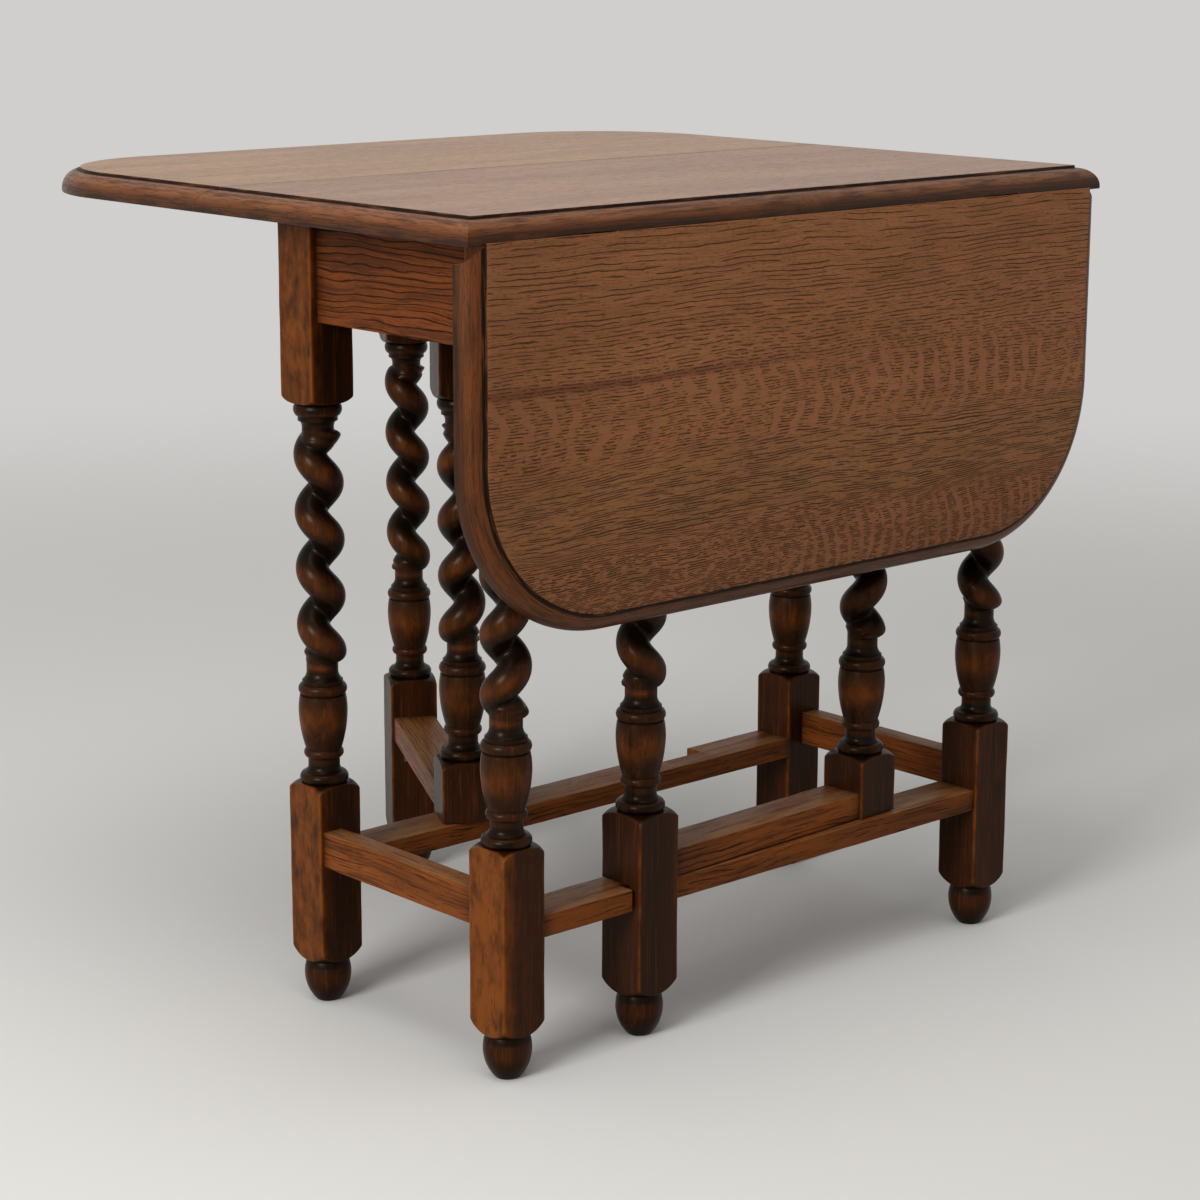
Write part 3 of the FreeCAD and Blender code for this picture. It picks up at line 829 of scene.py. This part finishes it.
class Surface(Graph):
    """A material whose base colour is built up in layers."""

    def __init__(self, name):
        self.material = bpy.data.materials.new(name)
        self.material.use_nodes = True
        super().__init__(self.material.node_tree)
        self.shader = self.tree.nodes["Principled BSDF"]
        self.base = None

    def lay(self, colour, *amounts):
        """Lays a colour over the base, as strongly as the amounts multiplied together."""
        self.base = self.mix(self.times(*amounts), self.base, colour)

    def metal(self, colour, roughness):
        self.set(self.shader, Base_Color=colour, Metallic=1, Roughness=roughness)
        return self.material

    def polish(self, roughness, level, coat, pores=None, sink=0, tint=warm_gloss):
        """Old shellac: a warm, weak gloss under a thin clearer one, with the pores sunk in it."""
        self.set(self.shader, Base_Color=self.base, Roughness=roughness, Specular_IOR_Level=level,
                 Specular_Tint=tint, Coat_Weight=coat, Coat_Roughness=0.22)
        if pores:
            bump = self.tree.nodes.new("ShaderNodeBump")
            self.set(self.shader, Normal=self.set(
                bump, Strength=sink, Distance=0.3 * MM, Height=self.less(1, pores)))
        return self.material


# ---- oak ----
# Colours are (red, green, blue) on the screen and distances are millimetres.
def pore_rows(g, along, depth, gap, dash, open_at, width, spread=0):
    """Rows of open pores along the growth rings: `gap` and `dash` are a row's spacing and dash length.

    The rows draw together with depth by `spread`, and fewer pores are open as `open_at` grows.
    """
    turns = g.per(g.times(depth, g.affine(depth, spread / 2, 1)), gap)
    row = g.math("FLOOR", turns)
    off_row = g.math("ABSOLUTE", g.less(g.math("FRACT", turns), 0.5))
    off_row = g.per(g.times(off_row, gap), g.affine(depth, spread, 1))
    in_row = g.join(g.affine(row, 13.7, g.per(along, dash)), g.times(row, 3.1))
    reach = g.smooth(g.less(g.noise(in_row, detail=1), open_at), 0, 0.1, 0, width)
    return g.smooth(g.less(reach, off_row), 0, 0.35)


def grain(g, wave=8, line_gap=3.4, field="wood", dash=14, open_at=0.5, width=0.55):
    """Dark growth lines, open pores, hair-fine streaks and broad drift of a plank."""
    wood = g.field(field)
    along, across, through = g.parts(wood)
    bend = g.sway(wood, (130, 48, 48), wave)
    bent = g.join(along, g.add(across, bend), g.add(through, bend))
    lines = g.noise(bent, (150, line_gap, line_gap), 3, 0.6)
    ripple = g.sway(wood, (30, 7, 7), 3.4)
    depth = g.add(g.times(through, 0.71), across, bend, ripple)
    rows = pore_rows(g, along, depth, line_gap, dash, open_at, width)
    specks = g.noise(bent, (9, 0.9, 0.9), 2, 0.6)
    pores = g.most(rows, g.times(g.smooth(specks, 0.6, 0.7), 0.7))
    streaks = g.smooth(g.noise(bent, (42, 0.7, 0.7), 1), 0.45, 0.75)
    drift = g.noise(bent, (240, 30, 30), 3, 0.55)
    return lines, pores, streaks, drift


def oak(name, pale, mid, dark, pore, rough=0.36, level=0.5, coat=0.2, tint=clear_gloss,
        nail_hole=None):
    """Oak with fine open grain, polished but for its underside."""
    g = Surface(name)
    lines, pores, streaks, drift = grain(g)
    along, across, through = g.parts(g.field("plank"))
    streaky = 0.4
    g.base = g.mix(g.smooth(drift, 0.35, 0.68), mid, pale)
    g.lay(dark, g.smooth(lines, 0.5, 0.7), streaky)
    g.lay(dark, streaks, streaky)
    g.lay(pore, pores, 0.55)
    if nail_hole:
        off = [g.math("POWER", g.less(*pair), 2) for pair in zip((along, across), nail_hole)]
        g.lay((34, 22, 16), g.smooth(g.math("SQRT", g.add(*off)), 2.6, 1.2))
    underside_dullness = g.smooth(through, -7, -9, 0, 0.5)
    rough = g.add(g.affine(pores, 0.25, rough), underside_dullness)
    return g.polish(g.affine(drift, 0.12, rough), level, coat, pores, 0.35, tint)


def quartered(name):
    """The hanging leaf: quarter-sawn oak, its pore lines crossed by smooth pinkish rays.

    Distances are measured down from the joint. Long open lines lie near it, a reddish streak and
    bands of rays that bend like chevrons come next, then fine straight grain, then more rays.
    """
    g = Surface(name)
    along, across, _ = g.parts(g.field("plank"))
    wood = g.field("wood")
    down = g.less((leaf_reach - joint_gap) / 2, across)
    bend = g.sway(wood, (230, 80, 1), 20)
    ripple = g.sway(wood, (24, 9, 1), 3.4)
    depth = g.add(down, bend, ripple)
    flat = g.join(along, depth)

    def chevrons(middle, half, gap, spread, push):
        """Stripes across the grain that bulge along it in the middle of their band."""
        rise = g.math("POWER", g.per(g.less(down, middle), half), 2)
        wobble = g.times(g.noise(wood, (45, 26, 1), 3), gap * 1.5)
        turns = g.per(g.add(along, g.times(along, along, spread), g.times(rise, push), wobble), gap)
        ragged = g.noise(wood, (7, 12, 1))
        return g.smooth(g.affine(ragged, 1.9, g.math("COSINE", g.times(turns, tau))), 1.1, 1.6)

    middle_rays = g.times(g.between(depth, 122, 186), chevrons(152, 30, 23, 2.9e-4, 11))
    low_rays = g.times(g.smooth(depth, 246, 270), g.smooth(along, -260, 120),
                       chevrons(292, 34, 15, 1e-4, 10))
    slant = g.noise(g.join(g.affine(down, 1.8, along), g.affine(along, -0.33, down)), (26, 5.5, 1))
    slanting_rays = g.times(g.between(depth, 72, 118, 16), g.smooth(slant, 0.52, 0.66), 0.8)
    fainter = g.smooth(g.noise(wood, (60, 26, 1)), 0.36, 0.6, 0.35, 1)
    rays = g.times(g.most(middle_rays, low_rays, slanting_rays), fainter)

    fine_zone = g.between(depth, 190, 250, 20)
    dash = g.add(g.smooth(depth, 30, 110, 58, 11), g.times(fine_zone, 26))
    wide_rows = pore_rows(g, along, depth, 5.6, dash, g.affine(fine_zone, 0.03, 0.41), 0.62, 0.008)
    fine_rows = pore_rows(g, along, g.add(depth, 1.3), 2.9, g.times(dash, 0.6), 0.5, 0.34, 0.004)
    specks = g.smooth(g.noise(flat, (6, 0.8, 1), 2, 0.6), 0.56, 0.66)
    pores = g.most(wide_rows, g.times(fine_rows, 0.75), g.times(specks, 0.7))
    pores = g.times(pores, g.affine(rays, -0.9, 1))

    streaks = g.noise(flat, (60, 0.9, 1), 1)
    pinker = g.noise(flat, (80, 3.4, 1))
    drift = g.noise(wood, (160, 24, 1), 3)
    older = g.most(g.smooth(down, 150, 330), g.smooth(along, -150, -380))
    reddish_streak = g.between(depth, 116, 123, 5)
    g.base = g.mix(g.smooth(drift, 0.35, 0.65), (146, 97, 60), (162, 109, 69))
    g.lay((170, 107, 73), g.smooth(pinker, 0.4, 0.62), 0.7)
    g.lay((150, 106, 66), fine_zone, 0.5)
    g.lay((112, 72, 44), g.smooth(streaks, 0.45, 0.72), 0.55)
    g.lay((160, 102, 69), rays, 0.6)
    g.lay((104, 56, 38), reddish_streak, g.smooth(along, 120, -260), 0.7)
    g.lay((132, 76, 50), g.smooth(down, 235, 300), g.smooth(along, -40, 300), 0.45)
    g.lay((108, 68, 42), older, 0.35)
    g.lay((54, 32, 20), pores, 0.88)
    return g.polish(g.affine(pores, 0.2, g.affine(rays, -0.08, 0.5)), 0.2, 0, pores, 0.4)


def moulding(name, crown_rub_and_sheen, rubbed):
    """A moulded edge: streaks along it, its crown lightened partly by rubbing and partly with a painted
    sheen, and darker towards the bottom of the edge.
    """
    g = Surface(name)
    up = g.parts(g.field("rim"))[1]
    lines, pores, streaks, drift = grain(g, 6, 2.4, "rim")
    worn = g.noise(g.field("rim"), (45, 7, 1), 3)
    beside_groove = g.smooth(up, 33, 34)
    streak, lower_darkening = (40, 20, 10), (30, 15, 8)
    g.base = g.mix(g.smooth(drift, 0.36, 0.64), (72, 36, 16), (100, 53, 24))
    g.lay(streak, g.smooth(lines, 0.48, 0.64), 0.75)
    g.lay(streak, streaks, 0.5)
    # Crown: rubbed bare, with a painted sheen.
    g.lay(crown_rub_and_sheen, g.smooth(up, 9, 20), g.smooth(worn, 0.36, 0.58), rubbed)
    # Darker towards the bottom of the edge.
    g.lay(lower_darkening, g.smooth(up, 12, 3), g.smooth(worn, 0.62, 0.44, 0.45, 0.9))
    g.lay((30, 17, 11), beside_groove, 0.8)
    g.lay((28, 15, 9), pores, 0.7)
    rough = g.affine(drift, 0.15, g.affine(pores, 0.2, 0.28))
    return g.polish(g.affine(beside_groove, 0.3, rough), 0.24, 0.05, pores, 0.3)


def groove(name):
    """Old dark polish in the groove beside the crown, rubbed to brown in places."""
    g = Surface(name)
    rubbed = g.noise(g.field("rim"), (38, 3, 1), 4, 0.6)
    g.base = g.mix(g.smooth(rubbed, 0.5, 0.68), (26, 14, 9), (92, 56, 32))
    return g.polish(g.affine(rubbed, -0.2, 0.6), 0.15, 0)


def rail_wood(name, pale, mid, line, pore, top, strong=0.55, wave=14, line_gap=3.4, dash=52,
              open_at=0.48, width=0.5):
    """Stained rail: strong wavy growth lines, a greyish top rubbed pale with a painted sheen, darker
    where it meets the legs with polish and painted shade.
    """
    g = Surface(name)
    lines, pores, streaks, drift = grain(g, wave, line_gap, "wood", dash, open_at, width)
    patches = g.noise(g.field("wood"), (70, 9, 9), 3)
    g.base = g.mix(g.smooth(drift, 0.34, 0.66), mid, pale)
    g.lay(line, g.smooth(lines, 0.49, 0.6), strong)
    g.lay(line, streaks, 0.4)
    # Painted sheen with rubbing on the top faces.
    g.lay(top, g.amount("wear"), g.smooth(patches, 0.3, 0.56), 0.85)
    g.lay(pore, pores, 0.85)
    # Painted shade with polish where the rail meets the legs.
    g.lay((24, 13, 8), g.amount("hollow"), 0.7)
    return g.polish(g.affine(drift, 0.2, g.affine(pores, 0.2, 0.32)), 0.1, 0, pores, 0.35)


def stained(name):
    """Dark stain on turned oak: rubbed through on the highs, lighter on the blocks' lamp-side faces
    with painted light, black in the hollows with old polish and painted shade.
    """
    g = Surface(name)
    wood = g.field("wood")
    lines, pores, streaks, drift = grain(g, 6, 2.6, "wood", 18, 0.54, 0.45)
    along_grain = g.noise(wood, (75, 3, 3), 3, 0.6)
    patches = g.noise(wood, (22, 11, 11), 4, 0.6)
    thinned = g.times(g.amount("wear"), g.affine(patches, 2.4, -0.25))
    g.base = g.mix(g.smooth(drift, 0.34, 0.68), (38, 18, 6), (55, 27, 10))
    g.lay((94, 48, 18), g.smooth(along_grain, 0.52, 0.7), 0.45)
    g.lay((32, 16, 8), g.smooth(lines, 0.5, 0.68), 0.6)
    g.lay((34, 17, 9), streaks, 0.35)
    # Rubbed-through colour; on the blocks this layer also carries the painted light of the lamp-side
    # faces and the painted highlight of the arrises.
    g.lay((118, 62, 19), g.smooth(thinned, 0.08, 0.95))
    g.lay((24, 12, 7), pores, 0.5)
    # Painted shade with old polish, in the hollows and the twist's valleys.
    g.lay((12, 6, 3), g.amount("hollow"), 0.93)
    return g.polish(g.affine(drift, 0.2, g.affine(pores, 0.15, 0.24)), 0.08, 0.05, pores, 0.3)


def brass():
    g = Surface("dulled_brass")
    tarnish = g.noise(g.object_point(), [1 / 240] * 3, 4)
    colour = g.mix(g.smooth(tarnish, 0.4, 0.65), (150, 120, 62), (84, 62, 34))
    return g.metal(colour, g.affine(tarnish, 0.35, 0.25))


def steel():
    g = Surface("pin_steel")
    scratch = g.noise(g.object_point(), (1 / 60, 1 / 900, 1 / 900))
    return g.metal(g.mix(scratch, (96, 92, 88), (140, 136, 130)), g.affine(scratch, 0.3, 0.25))


# ---- dressing ----
def dress_legs(stain):
    """The four corner legs: place, hand of the twist, its turn, and how far the blocks' left and front
    faces are lightened, partly bleached and partly painted light.
    """
    legs = {
        "leg_near_left": (-1, -1, 1, 70, (0.75, 0.08)),
        "leg_near_right": (1, -1, -1, 275, (0, 0.1)),
        "leg_far_left": (-1, 1, -1, 323, (0.5, 0)),
        "leg_far_right": (1, 1, 1, 250, (0.1, 0)),
    }
    for seed, (node, (x, y, hand, angle, faded_and_painted_light)) in enumerate(legs.items(), 1):
        leg = upright("turned_" + node, x * leg_x, y * leg_y, leg_square, lower_block_top,
                      upper_block_bottom, underside, hand, angle, seed, faded_and_painted_light)
        finish_piece(leg, "frame", "oak_turned", node, UP, LENGTHWAYS, seed, stain)


def dress_gates(stain, rail):
    """Leg, post and bars of each gate. The leg is lapped over the long stretcher and the apron."""
    twist_turns = {"near": (347, 355), "far": (117, 240)}
    leg_width = about(closed_x, 45)
    lapped = (-lap_plane - gate_lap_clearance, 0)
    width, height = gate_rail
    bar_ends = (closed_x + gate_square / 2 - hidden_end, pivot_x - gate_square / 2 + hidden_end)
    for side, word in SIDES:
        leg_turn, post_turn = twist_turns[word]
        swung = radians(gate_angle[side])
        along = (cos(swung), sin(swung), 0)
        across = (-sin(swung), cos(swung), 0)

        def finish(obj, slot, node, *rest):
            """A piece modelled shut on the near side: swings it to its resting angle."""
            turn(obj, gate_angle[side], (pivot_x, -pivot_y, 0))
            if side > 0:
                opposite(obj)
            finish_piece(obj, word + "_gate", slot, node + word, *rest)

        leg = upright("turned_gate_leg_" + word, closed_x, -pivot_y, gate_square, lower_block_top,
                      upper_block_bottom, underside - gate_top_clearance, -1, leg_turn, side + 7)
        subtract(leg, box("cutter", leg_width, lapped, (long_stretcher[2] - gate_gap, post_bottom)),
                 box("cutter", leg_width, lapped, (post_top, table_height)))
        sharpen(leg, 50)
        finish(leg, "oak_turned", "gate_leg_", UP, along, 20 + side, stain)

        post = upright("turned_gate_post_" + word, pivot_x, -pivot_y, gate_square,
                       lower_block_top - post_turning_drop, upper_block_bottom - post_block_drop,
                       post_top, 1, post_turn, side + 11, standing=False)
        finish(post, "oak_turned", "gate_post_", UP, along, 30 + side, stain)

        for level, z in (("lower", post_bottom), ("upper", post_top - height)):
            bar = worn_bar("gate_%s_bar_%s" % (level, word), bar_ends, about(-pivot_y, width / 2),
                           (z, z + height), 40 + side, gate_radius - gate_square)
            finish(bar, "oak_rails", "gate_%s_rail_" % level, along, across,
                   50 + side + int(z), rail)


def dress_rails(rail, apron):
    """End stretchers and aprons, then the long stretchers with their laps and the side aprons."""
    inner_x, inner_y = leg_x - leg_square / 2, leg_y - leg_square / 2
    apron_zs = (apron_bottom, underside)
    thick, height, bottom, set_back = end_stretcher
    kinds = (
        ("end_bar_", "end_stretcher_", rail, thick, set_back, (bottom, bottom + height), 60),
        ("end_panel_", "end_apron_", apron, apron_thickness, end_apron_set_back, apron_zs, 64),
    )
    for sign, word in ((-1, "left"), (1, "right")):
        for name, node, wood, thick, set_back, zs, seed in kinds:
            x = sign * (frame_length / 2 - set_back - thick / 2)
            bar = worn_bar(name + word, about(x, thick / 2), about(0, inner_y + hidden_end), zs,
                           seed + sign, 2 * inner_y)
            finish_piece(bar, "frame", "oak_rails", node + word, SIDEWAYS, UP, seed + sign, wood)

    width, height, bottom, set_back = long_stretcher
    outer = frame_width / 2 - set_back
    lap_xs = about(closed_x, gate_square / 2 + gate_lap_side_clearance)
    length = about(0, inner_x + hidden_end)
    for side, word in SIDES:
        bar = worn_bar("long_bar_" + word, length, (-outer, width - outer),
                       (bottom, bottom + height), 70 + side, 2 * inner_x)
        subtract(bar, box("cutter", lap_xs, (-outer - 2 * spare, -lap_plane),
                          (bottom - spare, stretcher_top + spare)))
        sharpen(bar, 40)
        panel = worn_bar("side_panel_" + word, length, about(-pivot_y, apron_thickness / 2),
                         apron_zs, 74 + side, 2 * inner_x)
        if side > 0:
            opposite(bar)
            opposite(panel)
        finish_piece(bar, "frame", "oak_rails", "long_stretcher_" + word,
                     LENGTHWAYS, SIDEWAYS, 70 + side, rail)
        finish_piece(panel, "frame", "oak_rails", "side_apron_" + word,
                     LENGTHWAYS, UP, 74 + side, apron)


def dress_top():
    fixed_oak = oak("fixed_top_oak", (155, 116, 89), (134, 95, 70), (98, 65, 46), (62, 40, 30),
                    coat=0.15, nail_hole=(17.5, 140))
    far_oak = oak("far_leaf_oak", (166, 124, 84), (144, 102, 66), (108, 74, 48), (72, 47, 31))
    quirk = groove("groove_oak")
    # The crown colours given here are partly rubbed wood, partly painted sheen.
    edge = moulding("edge_oak", (138, 87, 53), 0.55)
    near = [quartered("near_leaf_oak"), quirk, moulding("leaf_edge_oak", (112, 58, 26), 0.5)]
    pieces = (
        (centre_top([fixed_oak, quirk, edge]), "frame", "centre_top", SIDEWAYS),
        (leaf("hanging_leaf", -1, near), "near_leaf", "leaf_near", UP),
        (leaf("raised_leaf", 1, [far_oak, quirk, edge]), "far_leaf", "leaf_far", SIDEWAYS),
    )
    for seed, (piece, body, node, across) in enumerate(pieces, 80):
        finish_piece(piece, body, "oak_top", node, LENGTHWAYS, across, seed)


def dress_hardware(brass_metal, steel_metal, softwood):
    """Materials for the hinges, pins, dowels and blocks, and the hinges' screws."""
    for node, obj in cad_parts.items():
        if node.startswith("hinge_pins"):
            material = steel_metal
        elif node.startswith("hinge"):
            material = brass_metal
        elif "dowel" in node or node.startswith(("glue", "gate_stop")):
            wood_axes(obj, LENGTHWAYS, SIDEWAYS, len(node))
            material = softwood
        else:
            continue
        obj.data.materials.clear()
        obj.data.materials.append(material)

    for side, word in SIDES:
        on_top = screw_heads("top_screws_" + word, [(-12, -17), (0, -13), (12, -17)])
        on_leaf = screw_heads("leaf_screws_" + word, [(-11, 22), (11, 30), (0, 45)])
        if side < 0:
            opposite(on_top)
            hang(on_leaf)
        for screws, body in ((on_top, "frame"), (on_leaf, word + "_leaf")):
            screws.data.materials.append(brass_metal)
            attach(screws, body)


# ---- stage, light and camera ----
backdrop_colour = linear((208, 207, 205))


def seen_directly(g):
    """1 for camera, glossy and transmission rays, 0 for the light that falls on things."""
    path = g.node("LightPath")
    return g.most(path["Is Camera Ray"], path["Is Glossy Ray"], path["Is Transmission Ray"])


def blend_shaders(g, output, factor, first, second):
    g.set(g.tree.nodes[output], Surface=g.node("MixShader", factor, first, second)[0])


def stage():
    """A plain pale floor that fades into the backdrop's own colour with distance, in metres."""
    radius, corners = 40, 64
    fade_start, fade_end = 0.9, 3.4
    mesh = bpy.data.meshes.new("floor")
    mesh.from_pydata([(x, y, 0) for x, y in circle(0, 0, radius, corners)], [],
                     [tuple(range(corners))])
    floor = add_object("floor", mesh)
    g = Surface("pale_floor")
    seen = seen_directly(g)
    matt = g.set(g.shader, Base_Color=g.mix(seen, (150, 146, 140), (216, 214, 210)),
                 Roughness=0.9, Specular_IOR_Level=0.1)
    glow = g.node("Emission", backdrop_colour)[0]
    away = g.node("VectorMath", g.object_point(), operation="LENGTH")["Value"]
    fade = g.times(g.smooth(away, fade_start, fade_end), seen)
    blend_shaders(g, "Material Output", fade, matt, glow)
    mesh.materials.append(g.material)


def lights():
    """Soft light from a window on the left and from overhead, in an evenly lit room."""
    world = bpy.data.worlds.new("studio")
    world.use_nodes = True
    bpy.context.scene.world = world
    g = Graph(world.node_tree)
    room = g.set(g.tree.nodes["Background"], Color=(1, 1, 1, 1), Strength=0.42)
    backdrop = g.node("Background", backdrop_colour)[0]
    blend_shaders(g, "World Output", seen_directly(g), room, backdrop)
    lamps = (  # name, place, what it faces, size and power
        ("window", (-3.4, -0.9, 1.7), (0, 0, 0.4), 1.3, 95),
        ("overhead", (-0.6, -0.5, 3.3), (0, 0, 0.5), 2.2, 40),
    )
    for name, spot, target, size, power in lamps:
        data = bpy.data.lights.new(name, "AREA")
        data.shape = "SQUARE"
        data.size = size
        data.energy = power
        lamp = add_object(name, data)
        lamp.location = spot
        lamp.rotation_euler = (Vector(target) - Vector(spot)).to_track_quat("-Z", "Y").to_euler()


def camera():
    """The photograph's viewpoint, worked out from the frame's right angles."""
    yaw, pitch, roll = 0.73803, 0.22759, -0.00281
    focal_pixels, frame_pixels, sensor = 2972.4, 1200, 36
    eye = place(-1822.02, -1917.15, 956.79)
    level = cos(pitch)
    forward = Vector((sin(yaw) * level, cos(yaw) * level, -sin(pitch)))
    right = Vector((cos(yaw), -sin(yaw), 0))
    down = forward.cross(right)
    x_axis = right * cos(roll) + down * sin(roll)
    y_axis = right * sin(roll) - down * cos(roll)
    data = bpy.data.cameras.new("camera")
    data.sensor_width = sensor
    data.sensor_fit = "HORIZONTAL"
    data.lens = sensor * focal_pixels / frame_pixels
    obj = add_object("camera", data)
    aim = Matrix((x_axis, y_axis, -forward)).transposed().to_4x4()
    obj.matrix_world = Matrix.Translation(eye) @ aim
    bpy.context.scene.camera = obj


stain = stained("stained_turning")
# The last colour given is the top faces' rubbed and painted-sheen colour.
rail = rail_wood("rail_oak", (136, 73, 29), (108, 57, 22), (52, 26, 12), (30, 16, 8), (134, 92, 56))
apron = rail_wood("apron_oak", (116, 60, 27), (91, 46, 20), (34, 16, 8), (18, 9, 5), (90, 50, 24),
                  strong=0.42, wave=26, line_gap=6, dash=150, open_at=0.36, width=0.75)
softwood = oak("hidden_softwood", (178, 140, 96), (160, 122, 80), (134, 98, 62), (110, 78, 50),
               rough=0.6, level=0.3, coat=0, tint=warm_gloss)

dress_legs(stain)
dress_gates(stain, rail)
dress_rails(rail, apron)
dress_top()
dress_hardware(brass(), steel(), softwood)

stage()
lights()
camera()
bpy.context.scene.view_settings.view_transform = "Standard"
